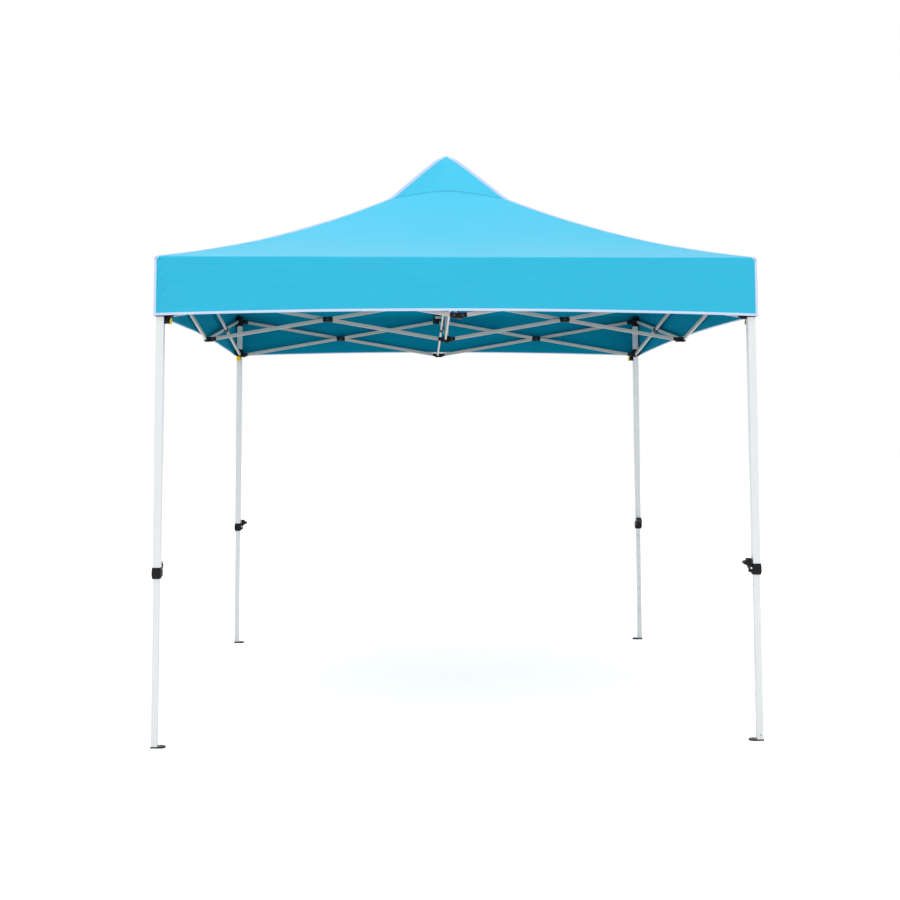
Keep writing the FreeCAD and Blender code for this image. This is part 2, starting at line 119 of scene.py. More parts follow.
# Canopy
CLOTH = 0.001
ROOF_LOW, ROOF_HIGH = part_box("canopy_roof")
HEM_CORNER_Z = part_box("canopy_valance")[0].z
EAVE_HALF = 0.0005 - ROOF_LOW.x
EAVE_Z = ROOF_LOW.z + CLOTH
ROOF_RISE = ROOF_HIGH.z - EAVE_Z
HEM_ARCH = 0.025
CAP_SEAM = 0.775
CAP_SEAM_RISE = 0.615
HIP_SEAM = 0.765               # where the cap seam meets the hips
SEAM_ARCH = 0.070              # how much further in the cap seam lies at the middle of a side
EAVE_SLOPE = 0.48
TIP_ROUNDING = 0.12
EAVE_ROUNDING = 0.006
CORNER_ROUNDING = 0.016
CORNER_FADE = 0.045
GORE_SAG = 0.014               # how far the middle of a gore sinks, and of a face of the cap
CAP_SAG = 0.005
TIP_REACH = 0.062
TIP_CIRCLE = 0.8               # how far the sections go from square to round at the tip
ROOF_SLACK = 0.0035
HIP_PUCKER = 0.0016
HIP_PUCKER_TURN = 68           # radians per metre up the hip
ROOF_STREAK = 0.0016
CAP_FOLD = 0.0012


# ---------------------------------------------------------------- materials

def node(tree, kind, inputs=None, **settings):
    """A shader node. inputs maps a socket's name or number to a value or to another node's output."""
    made = tree.nodes.new(kind)
    for key, value in settings.items():
        setattr(made, key, value)
    for key, value in (inputs or {}).items():
        if isinstance(value, bpy.types.NodeSocket):
            tree.links.new(value, made.inputs[key])
        else:
            made.inputs[key].default_value = value
    return made


def coordinates(tree, kind):
    return node(tree, "ShaderNodeTexCoord").outputs[kind]


def math_node(tree, operation, first, second=0.0):
    return node(tree, "ShaderNodeMath", {0: first, 1: second}, operation=operation).outputs[0]


def noise_node(tree, vector, scale, detail=2.0):
    made = node(tree, "ShaderNodeTexNoise", {"Vector": vector, "Scale": scale, "Detail": detail})
    return made.outputs["Fac"]


def stretched(tree, vector, scale):
    return node(tree, "ShaderNodeMapping", {"Vector": vector, "Scale": scale}).outputs[0]


def ranged(tree, value, source, target):
    """A value mapped from one range to another, and kept inside it."""
    made = node(tree, "ShaderNodeMapRange", {"Value": value, "From Min": source[0], "From Max": source[1],
                                             "To Min": target[0], "To Max": target[1]})
    return made.outputs[0]


def mixed(tree, factor, first, second, blend="MIX"):
    made = node(tree, "ShaderNodeMixRGB", {"Fac": factor, "Color1": first, "Color2": second},
                blend_type=blend)
    return made.outputs[0]


def bumped(tree, height, strength, distance, normal=None):
    inputs = {"Height": height, "Strength": strength, "Distance": distance}
    if normal is not None:
        inputs["Normal"] = normal
    return node(tree, "ShaderNodeBump", inputs).outputs[0]


def tone(colour, factor):
    return tuple(min(1.0, channel * factor) for channel in colour) + (1.0,)


def new_material(name, constants):
    """A material with its surface's constant values set. Returns the node tree and the surface."""
    material = bpy.data.materials.new(name)
    material.use_nodes = True
    surface = material.node_tree.nodes["Principled BSDF"]
    for socket, value in constants.items():
        surface.inputs[socket].default_value = value
    return material, material.node_tree, surface


def finish_surface(tree, surface, colour, roughness, normal):
    tree.links.new(colour, surface.inputs["Base Color"])
    tree.links.new(roughness, surface.inputs["Roughness"])
    tree.links.new(normal, surface.inputs["Normal"])


def powder_coat(name, colour, roughness, dirt=0.0):
    """Sprayed enamel: orange peel, a little cloudiness, and dust towards the ground."""
    material, tree, surface = new_material(name, {"Coat Weight": 0.12, "Coat Roughness": 0.25})
    place = coordinates(tree, "Object")
    cloud = noise_node(tree, place, 9.0, 3.0)
    paint = mixed(tree, cloud, tone(colour, 0.975), tone(colour, 1.02))
    height = node(tree, "ShaderNodeSeparateXYZ", {0: place}).outputs["Z"]
    low = ranged(tree, height, (0.0, 0.35), (dirt, 0.0))
    specks = ranged(tree, noise_node(tree, place, 160.0, 4.0), (0.45, 0.75), (0.0, 1.0))
    dust = math_node(tree, "MULTIPLY", low, specks)
    paint = mixed(tree, dust, paint, tone((0.36, 0.33, 0.28), 1.0))
    scuffs = noise_node(tree, stretched(tree, place, (40.0, 40.0, 6.0)), 4.0, 5.0)
    rough = ranged(tree, scuffs, (0.35, 0.7), (roughness - 0.05, roughness + 0.1))
    peel = noise_node(tree, place, 750.0, 2.0)
    finish_surface(tree, surface, paint, rough, bumped(tree, peel, 0.12, 0.0002))
    return material


def moulded_plastic(name, colour, roughness, scuff=0.35):
    """Moulded nylon: fine spark-eroded grain, faint flow marks and pale scuffs."""
    material, tree, surface = new_material(name, {"Specular IOR Level": 0.12})
    place = coordinates(tree, "Object")
    flow = noise_node(tree, place, 35.0, 2.0)
    base = mixed(tree, flow, tone(colour, 0.8), tone(colour, 1.2))
    marks = noise_node(tree, stretched(tree, place, (90.0, 90.0, 25.0)), 3.0, 6.0)
    scuffed = ranged(tree, marks, (0.6, 0.78), (0.0, scuff))
    base = mixed(tree, scuffed, base, tone((0.35, 0.35, 0.34), 1.0))
    rough = ranged(tree, marks, (0.3, 0.75), (roughness - 0.06, roughness + 0.18))
    grain = noise_node(tree, place, 1900.0, 3.0)
    finish_surface(tree, surface, base, rough, bumped(tree, grain, 0.3, 0.00012))
    return material


def bare_metal(name, colour, roughness, grain=(1.0, 1.0, 1.0)):
    """Plated or brushed metal, with grain stretched along one axis."""
    material, tree, surface = new_material(name, {"Metallic": 0.9})
    place = coordinates(tree, "Object")
    lines = noise_node(tree, stretched(tree, place, grain), 900.0, 4.0)
    stain = noise_node(tree, place, 60.0, 3.0)
    base = mixed(tree, stain, tone(colour, 0.88), tone(colour, 1.08))
    rough = ranged(tree, lines, (0.3, 0.7), (roughness - 0.08, roughness + 0.12))
    finish_surface(tree, surface, base, rough, bumped(tree, lines, 0.18, 0.0001))
    return material


WEAVE_PITCH = 0.0007


def weave(tree, place):
    """The height of a plain weave: threads cross over and under in a chequer."""
    parts = node(tree, "ShaderNodeSeparateXYZ", {0: place})
    turns = math.pi / WEAVE_PITCH
    warp = math_node(tree, "SINE", math_node(tree, "MULTIPLY", parts.outputs["X"], turns))
    weft = math_node(tree, "SINE", math_node(tree, "MULTIPLY", parts.outputs["Y"], turns))
    both = math_node(tree, "MULTIPLY", warp, weft)
    return ranged(tree, both, (-1.0, 1.0), (0.0, 1.0))


def woven_cloth(name, colour, roughness, sheen, shine=0.3):
    """Coated polyester: a fine plain weave with painted shade in its hollows, slubs along the weft, soft
    crumples and faint fading.
    """
    constants = {"Sheen Weight": sheen, "Sheen Roughness": 0.4, "Specular IOR Level": shine}
    material, tree, surface = new_material(name, constants)
    place = coordinates(tree, "UV")
    slubs = noise_node(tree, stretched(tree, place, (6.0, 420.0, 1.0)), 1.0, 3.0)
    fading = noise_node(tree, place, 1.6, 2.0)
    cloth = mixed(tree, slubs, tone(colour, 0.93), tone(colour, 1.07))
    cloth = mixed(tree, ranged(tree, fading, (0.3, 0.7), (0.0, 0.35)), cloth, tone(colour, 0.93))
    threads = weave(tree, place)
    # Painted shade: the colour darkens where the weave is low, in the hollows between the threads.
    cloth = mixed(tree, ranged(tree, threads, (0.0, 0.35), (0.12, 0.0)), cloth, tone(colour, 0.6))
    drifts = noise_node(tree, stretched(tree, place, (3.0, 55.0, 1.0)), 1.0, 4.0)
    cloth = mixed(tree, ranged(tree, drifts, (0.35, 0.7), (0.0, 0.6)), cloth, tone(colour, 0.9))
    rough = ranged(tree, slubs, (0.3, 0.7), (roughness - 0.05, roughness + 0.05))
    crumple = noise_node(tree, place, 17.0, 5.0)
    normal = bumped(tree, crumple, 0.32, 0.006)
    normal = bumped(tree, slubs, 0.10, 0.0004, normal)
    normal = bumped(tree, threads, 0.35, 0.00012, normal)
    finish_surface(tree, surface, cloth, rough, normal)
    return material


TWILL_PITCH = 0.0011
STITCH_PITCH = 0.0034
STITCH_ROWS = (0.0021, 0.0096)
STITCH_HALF_WIDTH = 0.00045


def stitches(tree, place):
    """1 on the stitches of two rows along a tape, at set distances from its folded middle."""
    parts = node(tree, "ShaderNodeSeparateXYZ", {0: place})
    across = math_node(tree, "ABSOLUTE", parts.outputs["Y"])
    along = math_node(tree, "FRACT", math_node(tree, "DIVIDE", parts.outputs["X"], STITCH_PITCH))
    dash = ranged(tree, math_node(tree, "ABSOLUTE", math_node(tree, "SUBTRACT", along, 0.5)),
                  (0.32, 0.4), (1.0, 0.0))
    rows = []
    for row in STITCH_ROWS:
        off = math_node(tree, "ABSOLUTE", math_node(tree, "SUBTRACT", across, row))
        rows.append(ranged(tree, off, (STITCH_HALF_WIDTH * 0.6, STITCH_HALF_WIDTH), (1.0, 0.0)))
    return math_node(tree, "MULTIPLY", dash, math_node(tree, "MAXIMUM", *rows))


def sewn_tape(name, colour, thread, roughness):
    """Woven binding tape: diagonal twill with painted shade in its grooves, and two rows of stitching that
    pull it in.
    """
    material, tree, surface = new_material(name, {"Sheen Weight": 0.12, "Specular IOR Level": 0.3})
    place = coordinates(tree, "UV")
    parts = node(tree, "ShaderNodeSeparateXYZ", {0: place})
    slant = math_node(tree, "ADD", parts.outputs["X"], parts.outputs["Y"])
    twill = math_node(tree, "SINE", math_node(tree, "MULTIPLY", slant, 2 * math.pi / TWILL_PITCH))
    twill = ranged(tree, twill, (-1.0, 1.0), (0.0, 1.0))
    wear = noise_node(tree, stretched(tree, place, (30.0, 30.0, 1.0)), 1.0, 3.0)
    base = mixed(tree, wear, tone(colour, 0.95), tone(colour, 1.03))
    # Painted shade: the colour darkens in the low grooves of the twill.
    base = mixed(tree, ranged(tree, twill, (0.0, 0.4), (0.1, 0.0)), base, tone(colour, 0.75))
    sewn = stitches(tree, place)
    base = mixed(tree, math_node(tree, "MULTIPLY", sewn, 0.7), base, tone(thread, 1.0))
    rough = ranged(tree, wear, (0.3, 0.7), (roughness - 0.05, roughness + 0.05))
    normal = bumped(tree, twill, 0.25, 0.00015)
    normal = bumped(tree, sewn, 0.5, 0.0004, normal)
    finish_surface(tree, surface, base, rough, normal)
    return material


MATERIALS = {
    "coat": powder_coat("white_powder_coat", (0.595, 0.62, 0.63), 0.38, 0.3),
    "bar": powder_coat("pale_grey_bar_enamel", (0.375, 0.365, 0.345), 0.42),
    "mast": bare_metal("drawn_aluminium", (0.46, 0.48, 0.50), 0.36, (1.0, 1.0, 0.03)),
    "steel": bare_metal("zinc_plated_steel", (0.58, 0.58, 0.57), 0.34),
    "bolt": bare_metal("blackened_steel", (0.055, 0.055, 0.058), 0.42),
    "plate": powder_coat("dark_grey_foot_enamel", (0.05, 0.052, 0.056), 0.45, 0.1),
    "black": moulded_plastic("moulded_black_nylon", (0.0085, 0.0085, 0.0095), 0.5, 0.06),
    # The lever's lid, and the pad on its tip, which is painted highlight.
    "slate": moulded_plastic("dark_grey_plastic_and_tip_highlight", (0.055, 0.058, 0.052), 0.5, 0.1),
    "yellow": moulded_plastic("moulded_yellow_plastic", (0.70, 0.50, 0.012), 0.36, 0.1),
    "grey": moulded_plastic("moulded_pale_grey_plastic", (0.45, 0.46, 0.48), 0.45, 0.12),
    "cloth": woven_cloth("sky_blue_coated_polyester", (0.0118, 0.385, 0.573), 0.58, 0.15),
    # Painted shade: the inner face of the roof, cap and skirts is a darker copy of the cloth's colour, for
    # the shade under the canopy.
    "underside_painted_shade": woven_cloth("cloth_inside_painted_shade", (0.002, 0.205, 0.315), 0.8, 0.0, 0.01),
    # Partly the doubled cloth, partly painted shade: the seam band is a darker copy of the cloth's colour,
    # for the shade along the overlapped seam.
    "band": woven_cloth("seam_cloth_with_painted_shade", (0.005, 0.28, 0.44), 0.6, 0.1),
    "tape": sewn_tape("pale_binding_tape", (0.46, 0.56, 0.74), (0.40, 0.46, 0.60), 0.6),
    "hip_tape": sewn_tape("pale_blue_hip_tape", (0.33, 0.44, 0.62), (0.28, 0.36, 0.50), 0.6),
}
FINISHES = list(MATERIALS)


# ---------------------------------------------------------------- mesh tools

HARD_CREASE = 50.0
CLOTH_CREASE = 42.0


def closed(bm, finish):
    """The mesh with outward faces, all in one finish."""
    bmesh.ops.recalc_face_normals(bm, faces=bm.faces)
    for face in bm.faces:
        face.material_index = FINISHES.index(finish)
        face.smooth = True
    return bm


def skin(bm, first, second):
    """Faces between two loops of vertices, one of which may be a single point."""
    count = max(len(first), len(second))
    for n in range(count):
        m = (n + 1) % count
        loop = [first[n % len(first)], first[m % len(first)],
                second[m % len(second)], second[n % len(second)]]
        bm.faces.new(list(dict.fromkeys(loop)))


def block(x, y, z, finish, bevel=0.0008, segments=2):
    """A box between the low and high value of each axis, with rounded edges."""
    bm = bmesh.new()
    bmesh.ops.create_cube(bm, size=1.0)
    for vert in bm.verts:
        for axis, (low, high) in enumerate((x, y, z)):
            vert.co[axis] = (low + high) / 2 + vert.co[axis] * (high - low)
    bmesh.ops.bevel(bm, geom=bm.edges[:], offset=bevel, segments=segments, profile=0.5, affect="EDGES")
    return closed(bm, finish)


CORNER_STEPS = 4


def ring(half_x, half_y, radius, z):
    """The points of a rounded rectangle at a height."""
    points = []
    for corner, (x, y) in enumerate(((1, 1), (-1, 1), (-1, -1), (1, -1))):
        for step in range(CORNER_STEPS + 1):
            turn = math.pi / 2 * (corner + step / CORNER_STEPS)
            points.append((x * (half_x - radius) + radius * math.cos(turn),
                           y * (half_y - radius) + radius * math.sin(turn), z))
    return points


def loft(levels, finish, hollow=False):
    """Rounded rectangles (half x, half y, corner radius, z) joined in order. A hollow one ends where
    it began, so its levels go up the outside and down the bore."""
    bm = bmesh.new()
    rings = [[bm.verts.new(point) for point in ring(*level)] for level in levels]
    for low, high in zip(rings, rings[1:] + rings[:1] if hollow else rings[1:]):
        skin(bm, low, high)
    if not hollow:
        bm.faces.new(rings[0])
        bm.faces.new(rings[-1])
    return closed(bm, finish)


def stepped(half_x, half_y, steps):
    """Levels of a loft, from how far each is cut in from its half widths, its corner radius and its z."""
    return [(half_x - cut, half_y - cut, radius, z) for cut, radius, z in steps]


def rectangular_tube(half_x, half_y, wall, radius, z, finish):
    inner = (half_x - wall, half_y - wall, radius - wall)
    outer = (half_x, half_y, radius)
    return loft([(*outer, z[0]), (*outer, z[1]), (*inner, z[1]), (*inner, z[0])], finish, True)


def lathe(profile, finish, sides=28, grip=0.0):
    """A solid turned about Z through (radius, height) points. It closes on the axis, or on its own
    first point. grip pulls every third line in, for a ribbed rim."""
    bm = bmesh.new()
    rings = []
    for radius, height in profile:
        if radius < TINY:
            rings.append([bm.verts.new((0.0, 0.0, height))])
            continue
        points = []
        for n in range(sides):
            turn, out = 2 * math.pi * n / sides, radius - (grip if n % 3 == 0 else 0.0)
            points.append(bm.verts.new((out * math.cos(turn), out * math.sin(turn), height)))
        rings.append(points)
    around = len(rings[0]) > 1
    for low, high in zip(rings, rings[1:] + rings[:1] if around else rings[1:]):
        skin(bm, low, high)
    return closed(bm, finish)


def drum(radius, length, finish, bevel=0.0006, sides=28):
    """A cylinder up Z from the origin with rounded rims."""
    return lathe([(0.0, 0.0), (radius - bevel, 0.0), (radius, bevel), (radius, length - bevel),
                  (radius - bevel, length), (0.0, length)], finish, sides)


def pipe(radius, wall, z, finish, bevel=0.0004, sides=32):
    inner = radius - wall
    low, high = z
    return lathe([(inner + bevel, low), (radius - bevel, low), (radius, low + bevel), (radius, high - bevel),
                  (radius - bevel, high), (inner + bevel, high), (inner, high - bevel), (inner, low + bevel)],
                 finish, sides)


def prism(outline, y, finish, bevel=0.0006):
    """A flat shape of (x, z) points with thickness along Y and rounded rims."""
    bm = bmesh.new()
    near = [bm.verts.new((px, y[0], pz)) for px, pz in outline]
    far = [bm.verts.new((px, y[1], pz)) for px, pz in outline]
    skin(bm, near, far)
    rims = [bm.faces.new(near), bm.faces.new(far)]
    edges = {edge for face in rims for edge in face.edges}
    bmesh.ops.bevel(bm, geom=list(edges), offset=bevel, segments=2, profile=0.5, affect="EDGES")
    return closed(bm, finish)


def arc(centre, radius, start, end, steps=8):
    """Points of an arc in a plane, with its angles in degrees."""
    turns = [math.radians(start + (end - start) * n / steps) for n in range(steps + 1)]
    return [(centre[0] + radius * math.cos(t), centre[1] + radius * math.sin(t)) for t in turns]


def softened(outline, radius, steps=3):
    """A closed outline with each corner rounded off."""
    points = [Vector(point) for point in outline]
    rounded = []
    for before, point, after in zip(points[-1:] + points[:-1], points, points[1:] + points[:1]):
        start = point + (before - point).normalized() * min(radius, (before - point).length / 2.5)
        end = point + (after - point).normalized() * min(radius, (after - point).length / 2.5)
        for n in range(steps + 1):
            t = n / steps
            rounded.append(tuple(start * (1 - t) ** 2 + point * 2 * t * (1 - t) + end * t ** 2))
    return rounded


def moved(bm, offset=(0.0, 0.0, 0.0), turn=None):
    """The mesh turned by a matrix and then moved."""
    bm.transform(Matrix.Translation(offset) @ (turn or Matrix.Identity(4)))
    return bm


def turn_about(axis, degrees):
    return Matrix.Rotation(math.radians(degrees), 4, axis)


TO_X = turn_about("Y", 90)      # turns +Z to +X
TO_Y = turn_about("X", -90)     # turns +Z to +Y
TO_BACK = turn_about("X", 90)   # turns +Z to -Y


def mesh_of(name, parts):
    """One mesh of several closed parts, with only the materials it uses."""
    whole = bmesh.new()
    for part in parts:
        piece = bpy.data.meshes.new(name)
        part.to_mesh(piece)
        part.free()
        whole.from_mesh(piece)
        bpy.data.meshes.remove(piece)
    return finished_mesh(name, whole, HARD_CREASE)


def finished_mesh(name, bm, crease=CLOTH_CREASE):
    """The mesh of a bmesh whose faces have their finishes, with only the materials it uses."""
    bm.normal_update()
    used = sorted({face.material_index for face in bm.faces})
    for face in bm.faces:
        face.material_index = used.index(face.material_index)
    mesh = bpy.data.meshes.new(name)
    bm.to_mesh(mesh)
    bm.free()
    for index in used:
        mesh.materials.append(MATERIALS[FINISHES[index]])
    mesh.set_sharp_from_angle(angle=math.radians(crease))
    return mesh


def drilled(part, cutters, finish):
    """A closed part with the cutters' shapes taken away, all in one finish."""
    body = bpy.data.objects.new("drilled", mesh_of("drilled", [part]))
    tool = bpy.data.objects.new("drill", mesh_of("drill", cutters))
    for made in (body, tool):
        bpy.context.scene.collection.objects.link(made)
    cut = body.modifiers.new("cut", "BOOLEAN")
    cut.object, cut.operation, cut.solver = tool, "DIFFERENCE", "EXACT"
    graph = bpy.context.evaluated_depsgraph_get()
    result = bpy.data.meshes.new_from_object(body.evaluated_get(graph))
    for made in (body, tool):
        bpy.data.objects.remove(made)
    whole = bmesh.new()
    whole.from_mesh(result)
    for face in whole.faces:
        face.material_index = FINISHES.index(finish)
    return whole


def publish(name, mesh, place, body, nodes):
    """A copy of a mesh, put in place as a piece that rides a body and stands for CAD nodes."""
    copy = mesh.copy()
    copy.name = name
    copy.transform(place)
    piece = bpy.data.objects.new(name, copy)
    bpy.context.scene.collection.objects.link(piece)
    even = piece.modifiers.new("even_normals", "WEIGHTED_NORMAL")
    even.keep_sharp = True
    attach(piece, body)
    if nodes:
        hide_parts(*nodes)
    return piece


def quarter(number):
    return turn_about("Z", 90 * number)


def placed(base, slope=0.0, heading=0.0):
    """Turned about Y by the slope, then about Z by the heading in degrees, then moved to the base."""
    return Matrix.Translation(base) @ turn_about("Z", heading) @ Matrix.Rotation(slope, 4, "Y")


# ---------------------------------------------------------------- frame parts

def dome_head(radius=HEAD_RADIUS, height=HEAD_HEIGHT, finish="bolt"):
    """A domed rivet or bolt head up Z, on a thin washer."""
    rim = height - 0.0006
    return lathe([(0.0, 0.0), (radius, 0.0), (radius, 0.0007), (radius * 0.86, 0.0009),
                  (radius * 0.84, 0.0014), (radius * 0.66, height * 0.82), (radius * 0.34, height),
                  (radius * 0.3, rim), (0.0, rim)], finish)


def nut():
    """A hexagonal nut up Z on a washer, with the bolt's end in it."""
    washer = drum(HEAD_RADIUS, 0.0008, "bolt", 0.0002)
    hexagon = moved(drum(HEAD_RADIUS * 0.93, HEAD_HEIGHT - 0.0009, "bolt", 0.0005, 6), (0, 0, 0.0006))
    return [washer, hexagon, drum(0.0031, HEAD_HEIGHT, "bolt", 0.0005, 16)]


def cheek_outline(root, at, up):
    """A clevis cheek: straight from its root, round at the pivot, with a corner for the web."""
    foot = -(WEB_GAP + WEB)
    outline = [(root, foot), (at + 0.002, foot), *arc((at, 0.0), CHEEK_RADIUS, -55, 90), (root, CHEEK_RADIUS)]
    return [(x, up * z) for x, z in outline]


def clevis(root, at, layer, up, head_side):
    """Two cheeks and a web round a bar's end along +X, with its bolt."""
    near = BAR_HALF_THICK + CHEEK_PLAY
    web = tuple(sorted((-up * WEB_GAP, -up * (WEB_GAP + WEB))))
    parts = [block((root, at), (layer - near - 0.001, layer + near + 0.001), web, "black", 0.0004)]
    for low in (layer - near - CHEEK, layer + near):
        parts.append(prism(cheek_outline(root, at, up), (low, low + CHEEK), "black"))
    out = near + CHEEK
    shank = moved(drum(BOLT_RADIUS, 2 * out, "bolt", 0.0003, 20), (at, layer - out, 0), TO_Y)
    outward, backward = (TO_Y, TO_BACK) if head_side > 0 else (TO_BACK, TO_Y)
    head = moved(dome_head(), (at, layer + head_side * out, 0), outward)
    tail = moved(dome_head(0.0052, 0.0011), (at, layer - head_side * out, 0), backward)
    return parts + [shank, head, tail]


def along_y(parts):
    """Parts made along +X, turned to run along +Y."""
    return [moved(part, turn=turn_about("Z", 90)) for part in parts]


def corner_clevises(root, layer, up, z):
    head = 1 if layer > 0 else -1
    both = clevis(root, LEG_PIVOT, layer, up, head) + along_y(clevis(root, LEG_PIVOT, -layer, up, -head))
    return [moved(part, (0, 0, z)) for part in both]


def outer_ribs(spots, half, z):
    """Upright ribs on the two outer faces of a fitting on a leg."""
    ribs = []
    for across in spots:
        rib = block((across - 0.0012, across + 0.0012), (-half, -half + 0.003), z, "black")
        ribs += [rib.copy(), moved(rib, turn=turn_about("Z", -90))]
    return ribs


def top_bracket():
    """The socket on top of a leg: stepped skirt, ribbed sides, shallow domed lid, two clevises."""
    low, high = TOP_Z - 0.032, TOP_Z + 0.038
    half, bore = BRACKET_HALF, OUTER_HALF
    shell = [(0.0006, 0.005, low), (0.0, 0.005, low + 0.0006), (0.0, 0.005, low + 0.009),
             (0.001, 0.0045, low + 0.010), (0.001, 0.0045, high - 0.006), (0.002, 0.005, high - 0.003),
             (0.0055, 0.006, high - 0.0008), (0.010, 0.006, high)]
    socket = [(bore, bore, 0.003, TUBE_TOP_Z), (bore, bore, 0.003, low)]
    parts = [loft(socket + stepped(half, half, shell), "black")]
    parts += outer_ribs((-0.012, 0.0, 0.012), half, (low + 0.008, high - 0.007))
    return parts + corner_clevises(half - 0.002, -LAYER, -1, TOP_Z)


def height_collar():
    """The collar at the foot of an outer tube: banded shell, tapered skirt, ears and their rivet."""
    low, high = LEVER_Z - 0.033, LEVER_Z + 0.021
    half, outer, inner = COLLAR_HALF, OUTER_HALF, COLLAR_BORE
    shell = [(0.0035, 0.004, low), (0.0022, 0.005, low + 0.002), (0.0012, 0.005, low + 0.012),
             (0.0, 0.005, low + 0.013), (0.0, 0.005, high - 0.013), (0.0012, 0.005, high - 0.012),
             (0.0012, 0.005, high - 0.0015), (0.0024, 0.0045, high)]
    bore = [(outer, outer, 0.0024, high), (outer, outer, 0.0024, TUBE_BOTTOM_Z),
            (inner, inner, 0.0025, TUBE_BOTTOM_Z), (inner, inner, 0.0025, low)]
    parts = [loft(stepped(half, half, shell) + bore, "black", True)]
    root, reach, end_radius = half - 0.003, 0.038, 0.007
    z_low, z_high = LEVER_Z - 0.025, LEVER_Z + 0.008
    outline = [(root, z_low), (reach - 0.006, z_low)]
    outline += arc((reach - end_radius, LEVER_Z), end_radius, -75, 75) + [(root, z_high)]
    for ear in (EAR, (-EAR[1], -EAR[0])):
        parts += along_y([prism(outline, ear, "black", 0.0007)])
    rivet = moved(drum(0.003, 2 * EAR[1], "steel", 0.0006, 20), (-EAR[1], LEVER_OUT, LEVER_Z), TO_X)
    heads = [moved(dome_head(0.0048, 0.0018, "steel"), (side * EAR[1], LEVER_OUT, LEVER_Z),
                   turn_about("Y", side * 90)) for side in (-1, 1)]
    return parts + [rivet] + heads


def outer_leg():
    tube = rectangular_tube(OUTER_HALF, OUTER_HALF, TUBE_WALL, TUBE_ROUNDING,
                            (TUBE_BOTTOM_Z, TUBE_TOP_Z - 0.0003), "coat")
    return [tube] + top_bracket() + height_collar()


def slider():
    """The slider: a banded sleeve with two clevises and the stepped housing of its lock pin."""
    low, high = LOW_Z - 0.009, LOW_Z + 0.040
    half, bore, lock = SLIDER_HALF, SLIDER_BORE, LOW_Z - LOCK_DROP
    waist = 0.0011
    shell = [(waist + 0.0012, 0.004, low), (0.0, 0.005, low + 0.0012), (0.0, 0.005, low + 0.007),
             (waist, 0.005, low + 0.008), (waist, 0.005, high - 0.008), (0.0, 0.005, high - 0.007),
             (0.0, 0.005, high - 0.0012), (waist + 0.0012, 0.004, high)]
    levels = [(bore, bore, 0.003, low), *stepped(half, half, shell), (bore, bore, 0.003, high)]
    parts = [loft(levels, "black", True)]
    housing = [(0.0033, 0.0195), (0.014, 0.0195), (0.014, 0.030), (0.0128, 0.031), (0.0128, 0.040),
               (0.014, 0.041), (0.014, 0.0462), (0.0132, 0.047), (0.0033, 0.047)]
    parts.append(moved(lathe(housing, "black", 36), (0, 0, lock), TO_X))
    lug = [(-0.012, low + 0.002), (0.012, low + 0.002)] + arc((0.0, lock), 0.0138, -30, -150, 10)
    parts.append(moved(prism(lug, (bore + 0.0003, half - waist), "black"), turn=turn_about("Z", -90)))
    for side in (-0.0075, 0.0075):
        parts.append(block((half - 0.002, 0.038), (side - 0.001, side + 0.001), (lock + 0.008, LOW_Z - 0.015),
                           "black", 0.0005))
    parts += outer_ribs((-0.010, 0.010), half, (low + 0.006, high - 0.006))
    return parts + corner_clevises(half - 0.002, LAYER, 1, LOW_Z)


def pull_pin():
    """The lock pin with its ribbed and dished yellow knob."""
    knob = [(0.0, 0.0485), (0.0165, 0.0485), (0.0175, 0.0493), (0.0175, 0.0519), (0.0169, 0.0529),
            (0.0148, 0.0535), (0.0110, 0.0533), (0.0096, 0.0524), (0.0, 0.0520)]
    pin = moved(drum(0.003, 0.030, "steel", 0.0006, 20), (0.0196, 0, 0), TO_X)
    neck = moved(drum(0.0031, 0.003, "yellow", 0.0002, 20), (0.0462, 0, 0), TO_X)
    parts = [moved(lathe(knob, "yellow", 54, 0.0008), turn=TO_X), pin, neck]
    return [moved(part, (0, 0, LOW_Z - LOCK_DROP)) for part in parts]


def height_lever():
    """The lever of the height lock: a block beside the tube with a tip for the finger, and a paler pad along
    the tip's top edge that is painted highlight."""
    z = LEVER_Z
    outline = [(LEVER_OUT, z - 0.007), (0.039, z + 0.005), (0.046, z + 0.013), (0.054, z + 0.013),
               (0.067, z + 0.023), (0.064, z + 0.029), (0.055, z + 0.036), (0.0475, z + 0.033),
               (0.046, z + 0.046), (0.0245, z + 0.046), (0.0245, z)]
    arm = prism(softened(outline, 0.003), (-LEVER_HALF, LEVER_HALF), "black", 0.0014)
    boss = moved(drum(0.007, 2 * LEVER_HALF, "black", 0.0006), (LEVER_OUT, -LEVER_HALF, z), TO_Y)
    # Painted highlight: a paler pad along the top edge of the finger tip.
    pad_outline = [(0.0655, z + 0.0225), (0.0673, z + 0.0240), (0.0643, z + 0.0295), (0.0552, z + 0.0365),
                   (0.0538, z + 0.0350), (0.0625, z + 0.0280)]
    pad = prism(softened(pad_outline, 0.001), (0.0012 - LEVER_HALF, LEVER_HALF - 0.0012), "slate", 0.0005)
    lid = block((0.0262, 0.0445), (0.0018 - LEVER_HALF, LEVER_HALF - 0.0018), (z + 0.0450, z + 0.0465),
                "slate", 0.0005)
    return along_y([arm, boss, pad, lid])


# The inner leg and its foot
HOLE_RADIUS = 0.004
HOLE_PITCH = 0.076
HOLES = 9
FIRST_HOLE_Z = 0.220
INNER_TOP_Z = 1.050
PLATE = 0.008
SOLE = 0.0062
FOOT_OUTER = -0.017
FOOT_ROUND = (0.032, 0.0045)
FOOT_ROUND_RADIUS = FOOT_ROUND[1] - FOOT_OUTER
STAKE_HOLE_RADIUS = 0.007
FOOT_SCREW_Z = PLATE + 0.020


